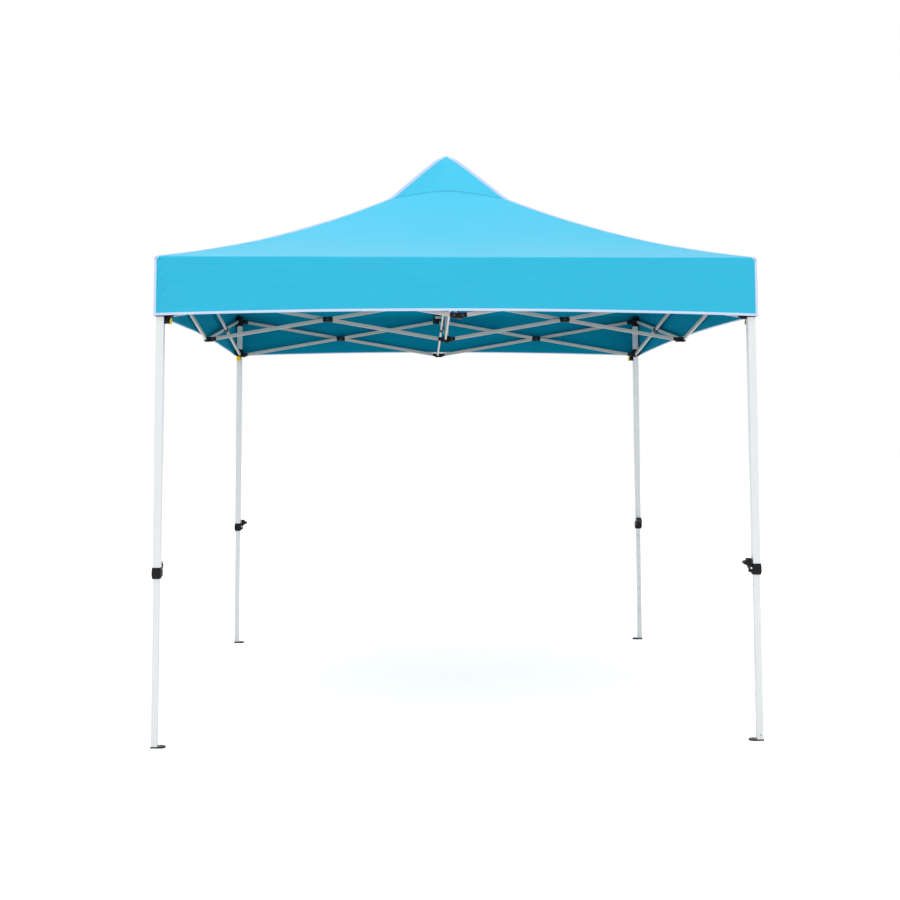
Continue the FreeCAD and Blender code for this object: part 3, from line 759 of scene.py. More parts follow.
def foot_outline(inset, swapped):
    """The foot plate from above: two straight outer edges and a round end along X, or along Y."""
    low, radius = FOOT_OUTER + inset, FOOT_ROUND_RADIUS - inset
    end = arc(FOOT_ROUND, radius, 90, -90, 20)
    rounded = arc((low + 0.004, FOOT_ROUND[1] + radius - 0.004), 0.004, 180, 90, 4)
    rounded = arc((low + 0.004, low + 0.004), 0.004, 270, 180, 4) + rounded + end
    return [(y, x) for x, y in rounded] if swapped else rounded


def foot_plate(swapped):
    """The steel foot plate on its black sole, with the stake hole through both."""
    x, y = FOOT_ROUND[::-1] if swapped else FOOT_ROUND
    layers = []
    for inset, y_range, finish, bevel in ((0.0, (-SOLE, 0.0), "black", 0.0012),
                                          (0.0012, (-PLATE, 0.0004 - SOLE), "plate", 0.0006)):
        layer = prism(foot_outline(inset, swapped), y_range, finish, bevel)
        hole = moved(drum(STAKE_HOLE_RADIUS, 0.02, "black", 0.0002, 32), (x, y, -0.005))
        layers.append(drilled(moved(layer, turn=TO_Y), [hole], finish))
    return layers


def inner_leg(swapped):
    """The inner tube with its height holes, a weld at its foot, a screw and the foot plate."""
    tube = rectangular_tube(INNER_HALF, INNER_HALF, TUBE_WALL, TUBE_ROUNDING, (PLATE - 0.0005, INNER_TOP_Z),
                            "coat")
    drills = [moved(drum(HOLE_RADIUS, 0.03, "coat", 0.0002, 24), (0, 0, FIRST_HOLE_Z + n * HOLE_PITCH), TO_Y)
              for n in range(HOLES)]
    weld = [(-0.0012, 0.0032, PLATE - 0.0004), (-0.0009, 0.0030, PLATE + 0.0010),
            (-0.0001, 0.0026, PLATE + 0.0018), (0.0005, 0.0024, PLATE + 0.0018),
            (0.0005, 0.0024, PLATE - 0.0004)]
    bead = loft(stepped(INNER_HALF, INNER_HALF, weld), "coat", True)
    screw = moved(dome_head(0.0028, 0.0010), (-INNER_HALF, 0, FOOT_SCREW_Z), turn_about("Y", -90))
    return [drilled(tube, drills, "coat"), *foot_plate(swapped), bead, screw]


def end_fitting():
    """A bar's moulded end: a rounded eye about the pivot and a thin lip against the tube."""
    half, thick = BAR_HALF_HEIGHT, BAR_HALF_THICK
    outline = [(BAR_FITTING, half)] + arc((0.0, 0.0), half, 90, 270, 14) + [(BAR_FITTING, -half)]
    eye = prism(outline, (-thick, thick), "black", 0.0011)
    lip = stepped(half, thick, [(0.0, 0.002, BAR_FITTING - 0.002), (-0.0006, 0.0024, BAR_FITTING - 0.001),
                                (-0.0006, 0.0024, BAR_FITTING + 0.003), (0.0, 0.002, BAR_FITTING + 0.004)])
    return [eye, moved(loft(lip, "black"), turn=TO_X)]


def sleeve():
    """The ribbed sleeve at a bar's middle."""
    tall, thick, end = SLEEVE_HALF_HEIGHT, SLEEVE_HALF_THICK, SLEEVE_HALF_LENGTH
    bore = (BAR_HALF_HEIGHT - 0.0002, BAR_HALF_THICK - 0.0002, 0.002)
    slim = (tall - 0.0012, thick - 0.0010, 0.003)
    lip = (tall - 0.0020, thick - 0.0017, 0.003)
    full = (tall, thick, 0.0035)
    levels = [(*bore, -end), (*lip, -end), (*slim, 0.001 - end), (*slim, 0.009 - end), (*full, 0.010 - end),
              (*full, end - 0.010), (*slim, end - 0.009), (*slim, end - 0.001), (*lip, end), (*bore, end)]
    return moved(loft(levels, "black", True), turn=TO_X)


def truss_bar(bolt_side):
    """A scissor bar along +X from its first pivot, with its middle bolt if bolt_side isn't 0."""
    tube = rectangular_tube(BAR_HALF_HEIGHT, BAR_HALF_THICK, BAR_WALL, BAR_ROUNDING,
                            (BAR_FITTING - 0.001, BAR_LENGTH - BAR_FITTING + 0.001), "bar")
    far = [moved(part, (BAR_LENGTH, 0, 0), turn_about("Z", 180)) for part in end_fitting()]
    middle = BAR_LENGTH / 2
    parts = [moved(tube, turn=TO_X), *end_fitting(), *far, moved(sleeve(), (middle, 0, 0))]
    if bolt_side:
        head = -bolt_side * SLEEVE_HALF_THICK
        end = bolt_side * (2 * LAYER + SLEEVE_HALF_THICK + CHEEK_PLAY)
        outward, backward = (TO_BACK, TO_Y) if bolt_side > 0 else (TO_Y, TO_BACK)
        shank = drum(BOLT_RADIUS, abs(end - head), "bolt", 0.0003, 20)
        parts.append(moved(shank, (middle, head, 0), backward))
        parts.append(moved(dome_head(), (middle, head, 0), outward))
        parts += [moved(part, (middle, end, 0), backward) for part in nut()]
    return parts


def core(x, y, z, radius=0.003):
    """A moulded block with chamfered rims and a shallow recess line round its middle."""
    half_x, half_y = (x[1] - x[0]) / 2, (y[1] - y[0]) / 2
    middle = ((x[0] + x[1]) / 2, (y[0] + y[1]) / 2, 0.0)
    low, high = z
    waist = (low + high) / 2
    steps = [(0.001, radius, low), (0.0, radius, low + 0.001), (0.0, radius, waist - 0.0015),
             (0.0005, radius, waist - 0.001), (0.0005, radius, waist + 0.001), (0.0, radius, waist + 0.0015),
             (0.0, radius, high - 0.001), (0.001, radius, high)]
    return moved(loft(stepped(half_x, half_y, steps), "black"), middle)


def side_joint(z, up):
    """The joint at the middle of the front side, with the pad of the top ones under the eave."""
    layer = LAYER * up
    parts = []
    for heading, side in ((0, 1), (180, -1)):
        ears = clevis(CORE_HALF - 0.001, JOINT_PIVOT, -side * layer, up, -side)
        parts += [moved(part, turn=turn_about("Z", heading)) for part in ears]
    parts += along_y(clevis(0.0155, INNER_PIVOT, -layer, up, -up))
    reach = tuple(sorted((up * CHEEK_RADIUS, -up * (WEB_GAP + WEB))))
    parts.append(core((-CORE_HALF, CORE_HALF), (-0.018, 0.0165), reach))
    if up < 0:
        parts += joint_head()
    return [moved(part, (0, -LEG, z)) for part in parts]


def joint_head():
    """The wide head of a top joint with its two shoulders, and the grey pad between them."""
    shoulder, wide, deep = 0.0288, 0.039, 0.016
    parts = [core((-wide, wide), (-deep, deep), (0.0160, 0.0250), 0.004)]
    for x in ((-wide, -shoulder), (shoulder, wide)):
        parts.append(core(x, (-deep, deep), (0.0245, 0.0430), 0.003))
    pad = [(0.001, 0.004, 0.0248), (0.0, 0.005, 0.0260), (0.0, 0.005, 0.0325), (0.0006, 0.005, 0.0330),
           (0.0006, 0.005, 0.0345), (0.0, 0.005, 0.0350), (0.0, 0.006, 0.0400), (0.0015, 0.006, 0.0421),
           (0.005, 0.006, 0.0430)]
    return parts + [loft(stepped(0.0285, 0.018, pad), "grey")]


def hub(z, up):
    """A hub on the mast: a core with four clevises and a round boss."""
    reach = tuple(sorted((up * 0.020, -up * (WEB_GAP + WEB))))
    parts = [core((-HUB_HALF, HUB_HALF), (-HUB_HALF, HUB_HALF), reach, 0.004)]
    for side in range(4):
        ears = clevis(HUB_HALF - 0.001, INNER_PIVOT, -up * LAYER, up, -up)
        parts += [moved(part, turn=quarter(side)) for part in ears]
    low, high = (0.0165, 0.0215) if up < 0 else (-0.0215, -0.0165)
    parts.append(pipe(0.0166, 0.0166 - MAST_BORE, (low, high), "black", 0.0008))
    return [moved(part, (0, 0, z)) for part in parts]


def mast_cap(top):
    """The round cap that carries the peak, with ribs under its rim."""
    drops = [(0.0, 0.0), (0.010, 0.0006), (0.018, 0.0024), (0.0245, 0.0065), (0.0290, 0.0115),
             (0.031, 0.0150), (0.031, 0.0190), (0.0300, 0.0202), (0.0150, 0.0290), (0.013, 0.0310),
             (0.013, 0.0590), (0.0122, 0.0600), (0.0, 0.0600)]
    parts = [lathe([(radius, top - drop) for radius, drop in drops], "black", 40)]
    for n in range(8):
        rib = prism([(0.012, top - 0.046), (0.0145, top - 0.045), (0.029, top - 0.021), (0.012, top - 0.021)],
                    (-0.0008, 0.0008), "black", 0.0003)
        parts.append(moved(rib, turn=turn_about("Z", 45 * n)))
    return parts


def build_frame():
    """Every part of the frame, in place on its body."""
    leg_parts = {"leg": (outer_leg, "leg_enamel"), "slider": (slider, "black_plastic"),
                 "pull_pin": (pull_pin, "yellow_plastic"), "height_lever": (height_lever, "black_plastic")}
    on_leg = Matrix.Translation((-LEG, -LEG, 0))
    for kind, (make, slot) in leg_parts.items():
        mesh = mesh_of(kind, make())
        for number, corner in enumerate(CORNERS):
            name = f"{kind}_{corner}"
            publish(f"{name}_finished", mesh, quarter(number) @ on_leg, name, [name])
    inner = [mesh_of("inner_leg", inner_leg(swapped)) for swapped in (False, True)]
    for number, corner in enumerate(CORNERS):
        name = f"inner_leg_{corner}"
        publish(f"{name}_finished", inner[number % 2], quarter(number) @ on_leg, name, [name])
    for name, mesh, place in side_meshes():
        for number, side in enumerate(SIDES):
            whole = name.replace("SIDE", side)
            slot = "bar_enamel" if "bar" in name else "black_plastic"
            publish(f"{whole}_finished", mesh, quarter(number) @ place, whole, [whole])
    build_mast()


def side_meshes():
    """The name, mesh and place of each bar and joint of the front side and its two centre bars."""
    bars = {side: mesh_of("truss_bar", truss_bar(side)) for side in (-1, 0, 1)}
    found = []
    for end, sign, heading in (("left", -1, 0.0), ("right", 1, 180.0)):
        start = sign * (LEG - LEG_PIVOT)
        top_place = placed((start, -LEG - LAYER, TOP_Z), SLOPE, heading)
        low_place = placed((start, -LEG + LAYER, LOW_Z), -SLOPE, heading)
        found.append((f"top_bar_SIDE_{end}", bars[0], top_place))
        found.append((f"low_bar_SIDE_{end}", bars[sign], low_place))
    found.append(("centre_bar_top_SIDE", bars[-1], placed((LAYER, -INNER_PIVOT, TOP_Z), SLOPE, -90.0)))
    found.append(("centre_bar_bottom_SIDE", bars[0], placed((-LAYER, -INNER_PIVOT, LOW_Z), -SLOPE, -90.0)))
    here = Matrix.Identity(4)
    found.append(("side_joint_top_SIDE", mesh_of("side_joint", side_joint(TOP_Z, -1)), here))
    found.append(("side_joint_bottom_SIDE", mesh_of("side_joint", side_joint(LOW_Z, 1)), here))
    return found


def build_mast():
    """Hubs, mast tube, bush, rod and cap. Tube ends come from the CAD's boxes."""
    here = Matrix.Identity(4)
    tube_low, tube_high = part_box("mast_tube")
    rod_low, rod_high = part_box("mast_rod")
    bush_low, bush_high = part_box("mast_bush")
    cap_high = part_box("mast_cap")[1]
    low, high = bush_low.z, bush_high.z
    bush = [(MAST_RADIUS, low), (0.0148, low), (0.0155, low + 0.001), (0.0155, low + 0.008),
            (0.0146, low + 0.009), (0.0146, high - 0.012), (0.0155, high - 0.011), (0.0155, high - 0.003),
            (0.0130, high), (0.0098, high), (0.0098, tube_high.z), (MAST_RADIUS, tube_high.z)]
    tube = pipe(MAST_RADIUS, TUBE_WALL, (tube_low.z, tube_high.z), "mast")
    rod = pipe(ROD_RADIUS, TUBE_WALL, (rod_low.z, rod_high.z), "mast")
    for name, parts, body, slot in (
            ("hub_top", hub(TOP_Z, -1), "hub_top", "black_plastic"),
            ("hub_bottom", hub(LOW_Z, 1), "hub_bottom", "black_plastic"),
            ("mast_tube", [tube], "hub_bottom", "bar_enamel"),
            ("mast_bush", [lathe(bush, "black", 40)], "hub_bottom", "black_plastic"),
            ("mast_rod", [rod], "mast_rod", "bar_enamel"),
            ("mast_cap", mast_cap(cap_high.z), "mast_rod", "black_plastic")):
        publish(f"{name}_finished", mesh_of(name, parts), here, body, [name])


# ---------------------------------------------------------------- canopy shape

def lower_rise(share):
    return EAVE_SLOPE * share + (CAP_SEAM_RISE / CAP_SEAM - EAVE_SLOPE) * share**2 / CAP_SEAM


def seam_share(turned):
    """The share of the way in of the cap seam, which arches between the hips. turned is -1 or 1 at
    the hips and 0 at the middle of a side."""
    return HIP_SEAM + SEAM_ARCH * (1 - turned**2)


def roof_rise(share, seam):
    """The roof's height above the eave, as a share of its whole rise, at a share of the way in."""
    if share <= seam:
        return lower_rise(share)
    left = (1 - share) / (1 - seam)
    steep = math.sqrt((1 + TIP_ROUNDING) ** 2 - TIP_ROUNDING**2)
    drop = math.hypot(TIP_ROUNDING, steep * left) - TIP_ROUNDING
    return 1 - (1 - lower_rise(seam)) * drop


def eave_rounding(across):
    """The radius of the fold over the eave, larger next to a corner."""
    near_corner = math.exp((abs(across) - EAVE_HALF) / CORNER_FADE)
    return EAVE_ROUNDING + (CORNER_ROUNDING - EAVE_ROUNDING) * near_corner


def fade(value, start, end):
    """0 before start, 1 after end, smooth between."""
    share = min(1.0, max(0.0, (value - start) / (end - start)))
    return share * share * (3 - 2 * share)


def reach_of(across, out):
    """How far a point lies from the middle: by squares over most of the roof, by circles at the tip."""
    square = max(abs(across), abs(out))
    tip = 1 - fade(square, 0.0, TIP_REACH)
    return square + (math.hypot(across, out) - square) * tip * TIP_CIRCLE


def roof_ripples(across, out, inset):
    """Small puckers of the roof: along the hips, along the eave, and broad slack in the cloth."""
    from_hip = abs(out) - abs(across)
    tied = fade(inset, 0.01, 0.12)
    place = Vector((across, out, 0.3))
    slack = ROOF_SLACK * noise.noise(place * 2.1) * tied
    hip_wave = math.sin(inset * HIP_PUCKER_TURN + 3 * noise.noise(place * 3.0))
    hip_wave *= 0.5 + noise.noise(place * 5.0)
    hips = HIP_PUCKER * hip_wave * fade(from_hip, 0.0, 0.03) * (1 - fade(from_hip, 0.05, 0.20)) * tied
    streak = noise.noise(Vector((across * 2.3 + out, inset * 15 - abs(across) * 2.5, 1.7)))
    streaks = ROOF_STREAK * streak * tied * (1 - fade(inset, 0.35, 0.7)) * fade(from_hip, 0.0, 0.15)
    return slack + hips + streaks


def roof_z(across, out):
    """The height of the roof's upper face over a point, with out the distance towards its side."""
    reach = reach_of(across, out)
    inset = EAVE_HALF - reach
    share = inset / EAVE_HALF
    turned = min(1.0, abs(across) / max(abs(out), TINY))
    seam = seam_share(turned)
    level = EAVE_Z + ROOF_RISE * roof_rise(share, seam)
    rounding = eave_rounding(across)
    if inset < rounding:
        level -= rounding - math.sqrt(max(0.0, rounding**2 - (rounding - inset) ** 2))
    spread = 1 - turned**2
    if share < seam:
        level -= GORE_SAG * spread * math.sin(math.pi * share / seam)
        return level + roof_ripples(across, out, inset) * (1 - fade(share, seam - 0.05, seam))
    level -= CAP_SAG * spread * math.sin(math.pi * (share - seam) / (1 - seam))
    folds = math.sin(math.atan2(across, out) * 9 + 1.0) * fade(share, seam + 0.03, 0.9)
    return level + CAP_FOLD * folds * (1 - fade(share, 0.93, 0.985)) * (1 - turned)


def hem_z(across):
    """The height of the hem, arched up towards the middle of each side."""
    radius = (EAVE_HALF**2 + HEM_ARCH**2) / (2 * HEM_ARCH)
    return HEM_CORNER_Z + HEM_ARCH - radius + math.sqrt(radius**2 - across**2)


# Each crease's height below the eave at the corner, how far it runs from the corner, its strength
CREASES = ((0.020, 0.050, 0.6), (0.075, 0.075, 1.0), (0.128, 0.070, 0.9), (0.182, 0.085, 1.0),
           (0.238, 0.045, 0.6))
CREASE_HALF_WIDTH = 0.0130
CREASE_SLOPE = 1.15
CREASE_DEPTH = 0.0038
FAINT_CREASE = 0.35            # the share of that depth at the right end of a side
SKIRT_WAVE = 0.0040
SKIRT_STREAK = 0.0012
HEM_PUCKER = 0.0011
HEM_PUCKER_TURN = 95           # radians per metre along the hem
SIDE_SEED = 3.1                # sets the noise of each side apart
HEM_FLARE = 0.0055


def crease(across, down):
    """Diagonal pulls in the skirt next to a corner, at a few heights below the eave."""
    beside = EAVE_HALF - abs(across)
    depth = 0.0
    for at, run, strength in CREASES:
        off = (down - at + beside * CREASE_SLOPE - run * 0.5) / CREASE_HALF_WIDTH
        fold = math.exp(-off**2) - 0.7 * math.exp(-(off - 1.9) ** 2)
        depth += strength * fold * fade(beside, 0.008, 0.018) * (1 - fade(beside, run * 0.5, run * 1.3))
    return depth


def skirt_out(side, across, down):
    """How far the skirt stands out of its plane, at a distance below the eave."""
    free = fade(down, 0.0, 0.28)
    tied = fade(EAVE_HALF - abs(across), 0.0, 0.10)
    seed = side * SIDE_SEED
    place = Vector((across, down, 2.0 + seed))
    waves = SKIRT_WAVE * noise.noise(Vector((across * 2.2, down * 1.2, seed))) * free * tied
    streaks = SKIRT_STREAK * noise.noise(Vector((across * 5, down * 34, seed))) * fade(down, 0.0, 0.03) * tied
    hem = fade(down, 0.235, 0.30)
    pucker_wave = math.sin(across * HEM_PUCKER_TURN + 4 * noise.noise(place * 3))
    ripple = pucker_wave * (0.4 + noise.noise(place * 6))
    puckers = HEM_PUCKER * ripple * hem
    pulls = CREASE_DEPTH * crease(across, down) * (1.0 if across < 0 else FAINT_CREASE)
    flare = HEM_FLARE * fade(down, 0.255, 0.31) * tied
    return waves + streaks + puckers * tied + flare - pulls


def skirt_point(side, across, down, out=0.0):
    """A point of the front skirt's outer face, at a distance below the eave, or off that face."""
    return Vector((across, -(EAVE_HALF + skirt_out(side, across, down) + out), EAVE_Z - down))


def side_turn(side):
    return quarter(side).to_3x3()


def roof_point(side, across, out):
    return side_turn(side) @ Vector((across, -out, roof_z(across, out)))


# ---------------------------------------------------------------- canopy meshes

COLUMNS = 84
COLUMN_BIAS = 1.5
GORE_INSETS = (0.0, 0.0012, 0.003, 0.006, 0.010, 0.016, 0.025, 0.038, 0.055, 0.075)
GORE_STEP = 0.0245
SKIRT_ROWS = 44
CAP_COLUMNS = 24
CAP_ROWS = 34


def spread_shares():
    """Shares of the way from a corner to the middle of a side, closer together near the corner."""
    return [1 - (n / COLUMNS) ** COLUMN_BIAS for n in range(COLUMNS + 1)]


def half_shares(end):
    """Signed shares of the way out along half a side, from left to right."""
    shares = spread_shares()
    return [-share for share in shares] if end == "left" else shares[::-1]


def gore_rows():
    """How far in from the eave each row of a gore lies, up to the cap seam."""
    last = CAP_SEAM * EAVE_HALF
    count = round((last - GORE_INSETS[-1]) / GORE_STEP)
    step = (last - GORE_INSETS[-1]) / count
    return list(GORE_INSETS) + [GORE_INSETS[-1] + step * (n + 1) for n in range(count)]


def arched(inset, turned):
    """How far in from the eave a row's point lies, with the last row on the arched cap seam."""
    last = CAP_SEAM * EAVE_HALF
    return inset + (seam_share(turned) - CAP_SEAM) * EAVE_HALF * (inset / last) ** 2


def grid_normals(grid):
    """The normal at each point of a grid, from its neighbours."""
    found = []
    for i, row in enumerate(grid):
        line = []
        for j in range(len(row)):
            before, after = grid[max(0, i - 1)][j], grid[min(len(grid) - 1, i + 1)][j]
            left, right = row[max(0, j - 1)], row[min(len(row) - 1, j + 1)]
            line.append((right - left).cross(after - before).normalized())
        found.append(line)
    return found


def measured(grid):
    """The cloth's own coordinates at each point of a grid: metres along its rows and up its columns."""
    heights = [0.0]
    middle = len(grid[0]) // 2
    for low, high in zip(grid, grid[1:]):
        heights.append(heights[-1] + (high[middle] - low[middle]).length)
    places = []
    for row, height in zip(grid, heights):
        line = [0.0]
        for first, second in zip(row, row[1:]):
            line.append(line[-1] + (second - first).length)
        places.append([(value - line[-1], height) for value in line])
    return places


def cloth_mesh(name, grid, outer, inner, thickness=CLOTH):
    """A closed sheet of cloth: an outer face through a grid of points and an inner one behind it, which
    its callers give the darker colour of painted shade.
    """
    normals = grid_normals(grid)
    places = measured(grid)
    bm = bmesh.new()
    layer = bm.loops.layers.uv.new("cloth")
    faces = []
    for depth in (0.0, thickness):
        verts = [[bm.verts.new(point - normal * depth) for point, normal in zip(*pair)]
                 for pair in zip(grid, normals)]
        faces.append(verts)
    rows, columns = len(grid), len(grid[0])
    for index, verts in enumerate(faces):
        finish = FINISHES.index(inner if index else outer)
        for i in range(rows - 1):
            for j in range(columns - 1):
                corners = [(i, j), (i, j + 1), (i + 1, j + 1), (i + 1, j)]
                add_cloth_face(bm, layer, verts, places, corners[::-1] if index else corners, finish)
    rim = ([(0, j) for j in range(columns)] + [(i, columns - 1) for i in range(1, rows)]
           + [(rows - 1, j) for j in range(columns - 2, -1, -1)] + [(i, 0) for i in range(rows - 2, 0, -1)])
    for first, second in zip(rim, rim[1:] + rim[:1]):
        loop = [faces[1][first[0]][first[1]], faces[1][second[0]][second[1]],
                faces[0][second[0]][second[1]], faces[0][first[0]][first[1]]]
        face = bm.faces.new(loop)
        face.material_index = FINISHES.index(inner)
        for corner, at in zip(face.loops, (first, second, second, first)):
            corner[layer].uv = places[at[0]][at[1]]
    return finished_mesh(name, bm)


def add_cloth_face(bm, layer, verts, places, corners, finish):
    face = bm.faces.new([verts[i][j] for i, j in corners])
    face.material_index = finish
    face.smooth = True
    for corner, (i, j) in zip(face.loops, corners):
        corner[layer].uv = places[i][j]


def tape_mesh(name, runs, finish, ring=False):
    """Closed strips along runs of sections, or one ring of them. Each section is a loop of points,
    and offsets has the distance of each from the tape's fold."""
    bm = bmesh.new()
    layer = bm.loops.layers.uv.new("tape")
    for sections, offsets in runs:
        loops = [[bm.verts.new(point) for point in section] for section in sections]
        along = 0.0
        for first, second in zip(loops, loops[1:] + loops[:1] if ring else loops[1:]):
            step = (second[0].co - first[0].co).length
            for k in range(len(first)):
                m = (k + 1) % len(first)
                face = bm.faces.new([first[k], first[m], second[m], second[k]])
                places = [(along, offsets[k]), (along, offsets[m]), (along + step, offsets[m]),
                          (along + step, offsets[k])]
                for corner, place in zip(face.loops, places):
                    corner[layer].uv = place
            along += step
        if not ring:
            bm.faces.new(loops[0][::-1])
            bm.faces.new(loops[-1])
    closed(bm, finish)
    return finished_mesh(name, bm)


def cloth_piece(name, mesh, body):
    piece = bpy.data.objects.new(name, mesh)
    bpy.context.scene.collection.objects.link(piece)
    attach(piece, body)
    return piece


# Each soft piece gets its own copy of its mesh
CROSSING_SHIFT = 0.080


def gore_axis(side):
    """The direction up a gore from its eave to the cap seam."""
    rise = ROOF_RISE * CAP_SEAM_RISE
    return side_turn(side) @ Vector((0.0, CAP_SEAM * EAVE_HALF, rise)).normalized()


def gather_gore(piece, side, end):
    anchor = side_turn(side) @ Vector((0.0, -EAVE_HALF, EAVE_Z))
    if end == "right":
        anchor += gore_axis(side) * CROSSING_SHIFT
    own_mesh(piece)


def gather_skirt(piece):
    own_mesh(piece)


def half_gore(side, end):
    """The cloth between a hip and the middle of its side, from the eave to the cap seam."""
    shares = half_shares(end)
    grid = []
    for inset in gore_rows():
        outs = [EAVE_HALF - arched(inset, share) for share in shares]
        grid.append([roof_point(side, out * share, out) for out, share in zip(outs, shares)])
    return cloth_mesh(f"roof_{SIDES[side]}_{end}", grid, "cloth", "underside_painted_shade")


def skirt_rows(across):
    """Distances below the eave of the rows of a skirt, at one column."""
    top = eave_rounding(across)
    bottom = EAVE_Z - hem_z(across)
    return [top + (bottom - top) * row / SKIRT_ROWS for row in range(SKIRT_ROWS + 1)]


def half_skirt(side, end):
    """The skirt from a corner to the middle of its side."""
    columns = [EAVE_HALF * share for share in half_shares(end)]
    lines = [[side_turn(side) @ skirt_point(side, x, down) for down in skirt_rows(x)] for x in columns]
    grid = [list(row) for row in zip(*lines)][::-1]
    return cloth_mesh(f"valance_{SIDES[side]}_{end}", grid, "cloth", "underside_painted_shade")


TAPE_PROUD = 0.0008
TAPE_SINK = 0.0004
TAPE_EDGE = 0.0115
TAPE_ROUND = 0.0008            # how far the tape's edges are rounded off
HIP_EDGE = 0.0180
HEM_EDGE = 0.0120
HEM_BACK = 0.0060
CORNER_BEND = 0.0025
CORNER_ROWS = 26


def hem_tape(side, end):
    """The tape folded over the hem of half a side."""
    sign = -1 if end == "left" else 1
    xs = [sign * EAVE_HALF * share for share in spread_shares()]
    sections = []
    for x in xs:
        bottom = EAVE_Z - hem_z(x)
        spots = [(-TAPE_SINK, HEM_EDGE), (TAPE_PROUD * 0.5, HEM_EDGE), (TAPE_PROUD, HEM_EDGE - TAPE_ROUND),
                 (TAPE_PROUD, 0.001), (TAPE_PROUD * 0.3, -0.0004), (-CLOTH / 2, -TAPE_PROUD),
                 (-CLOTH - TAPE_PROUD * 0.3, -0.0004), (-CLOTH - TAPE_PROUD, 0.001),
                 (-CLOTH - TAPE_PROUD, HEM_BACK - TAPE_ROUND), (-CLOTH - TAPE_PROUD * 0.5, HEM_BACK),
                 (-CLOTH + TAPE_SINK, HEM_BACK)]
        sections.append([side_turn(side) @ skirt_point(side, x, bottom - up, out) for out, up in spots])
    offsets = [HEM_EDGE, HEM_EDGE, HEM_EDGE - TAPE_ROUND, 0.001, 0.0004, 0.0, 0.0004, 0.001,
               HEM_BACK - TAPE_ROUND, HEM_BACK, HEM_BACK]
    return tape_mesh(f"hem_tape_{SIDES[side]}_{end}", [(sections, offsets)], "tape")


def hip_section(side, out):
    """The tape's section over the hip at the left end of a side, and its points' distances."""
    low = -TAPE_SINK
    spots = [(HIP_EDGE, low), (HIP_EDGE, TAPE_PROUD * 0.5), (HIP_EDGE - TAPE_ROUND, TAPE_PROUD),
             (HIP_EDGE * 0.5, TAPE_PROUD * 1.1), (TAPE_ROUND, TAPE_PROUD * 1.2)]
    reaches = [(max(out - back, 0.0), Vector((0, 0, up))) for back, up in spots]
    here = [roof_point(side, -reach, out) + lift for reach, lift in reaches]
    there = [roof_point(side - 1, reach, out) + lift for reach, lift in reaches]
    under = roof_point(side, -out, out) + Vector((0, 0, low))
    return here + there[::-1] + [under]


# Distances from the fold at each point of a hip tape's section, which place its stitches
HIP_OFFSETS = [0.0127, 0.0124, 0.0118, 0.0064, 0.001, 0.001, 0.0064, 0.0118, 0.0124, 0.0127, 0.0]


def hip_tape(side, insets):
    sections = [hip_section(side, EAVE_HALF - inset) for inset in insets]
    return [(sections, HIP_OFFSETS)]


def corner_tape(side):
    """The tape down the corner at the left end of a side."""
    turn = side_turn(side)
    top, bottom = EAVE_Z - CORNER_ROUNDING, hem_z(EAVE_HALF) - TAPE_PROUD
    edge, face, back = EAVE_HALF - TAPE_EDGE, EAVE_HALF + TAPE_PROUD, EAVE_HALF - TAPE_SINK
    bend = face - CORNER_BEND
    plan = [(-edge, -back), (-edge, -(face - TAPE_PROUD * 0.5)), (-edge - TAPE_ROUND, -face),
            *arc((-bend, -bend), CORNER_BEND, -90, -180, 4),
            (-face, -edge - TAPE_ROUND), (-(face - TAPE_PROUD * 0.5), -edge), (-back, -edge), (-back, -back)]
    sections = []
    for n in range(CORNER_ROWS + 1):
        z = top + (bottom - top) * n / CORNER_ROWS
        sections.append([turn @ Vector((x, y, z)) for x, y in plan])
    offsets = [TAPE_EDGE, TAPE_EDGE, TAPE_EDGE - TAPE_ROUND, 0.0025, 0.0012, 0.0, 0.0012, 0.0025,
               TAPE_EDGE - TAPE_ROUND, TAPE_EDGE, TAPE_EDGE, 0.0]
    return tape_mesh(f"corner_tape_{CORNERS[side]}", [(sections, offsets)], "tape")


def cap_rows(turned):
    """Shares of the way in of the cap's rows, closer together towards the tip."""
    seam = seam_share(turned)
    return [seam + (1 - seam) * (n / CAP_ROWS) ** 0.9 for n in range(CAP_ROWS)]


def cap_mesh():
    """The steep cap in one mesh: four faces that share their hips and a rounded tip."""
    bm = bmesh.new()
    layer = bm.loops.layers.uv.new("cloth")
    shares = [n / CAP_COLUMNS * 2 - 1 for n in range(CAP_COLUMNS + 1)]
    rings = []
    for depth in (0.0, CLOTH):
        lines = []
        for side in range(4):
            for turned in shares[:-1]:
                outs = [EAVE_HALF * (1 - share) for share in cap_rows(turned)]
                lines.append([roof_point(side, turned * out, out) - Vector((0, 0, depth)) for out in outs])
        loops = [[bm.verts.new(point) for point in loop] for loop in zip(*lines)]
        tip = bm.verts.new((0.0, 0.0, roof_z(0.0, 0.0) - depth))
        rings.append((loops, tip))
    for index, (loops, tip) in enumerate(rings):
        # The inner face takes the darker cloth colour of painted shade.
        finish = FINISHES.index("underside_painted_shade" if index else "cloth")
        for row, (low, high) in enumerate(zip(loops, loops[1:] + [[tip]])):
            add_cap_row(bm, layer, low, high, row, finish, index == 1)
    skin(bm, rings[0][0][0], rings[1][0][0])
    return finished_mesh("cap_cloth", bm)


def add_cap_row(bm, layer, low, high, row, finish, flipped):
    """One ring of the cap's faces, with cloth coordinates in metres."""
    count = len(low)
    for n in range(count):
        m = (n + 1) % count
        corners = [low[n], low[m], high[m % len(high)], high[n % len(high)]]
        corners = list(dict.fromkeys(corners))
        face = bm.faces.new(corners[::-1] if flipped else corners)
        face.material_index = finish
        face.smooth = True
        for corner in face.loops:
            point = corner.vert.co
            across = point.x if (n // CAP_COLUMNS) % 2 == 0 else point.y
            corner[layer].uv = (across, (point.z - EAVE_Z) * 1.4)


BAND_HALF = 0.0045


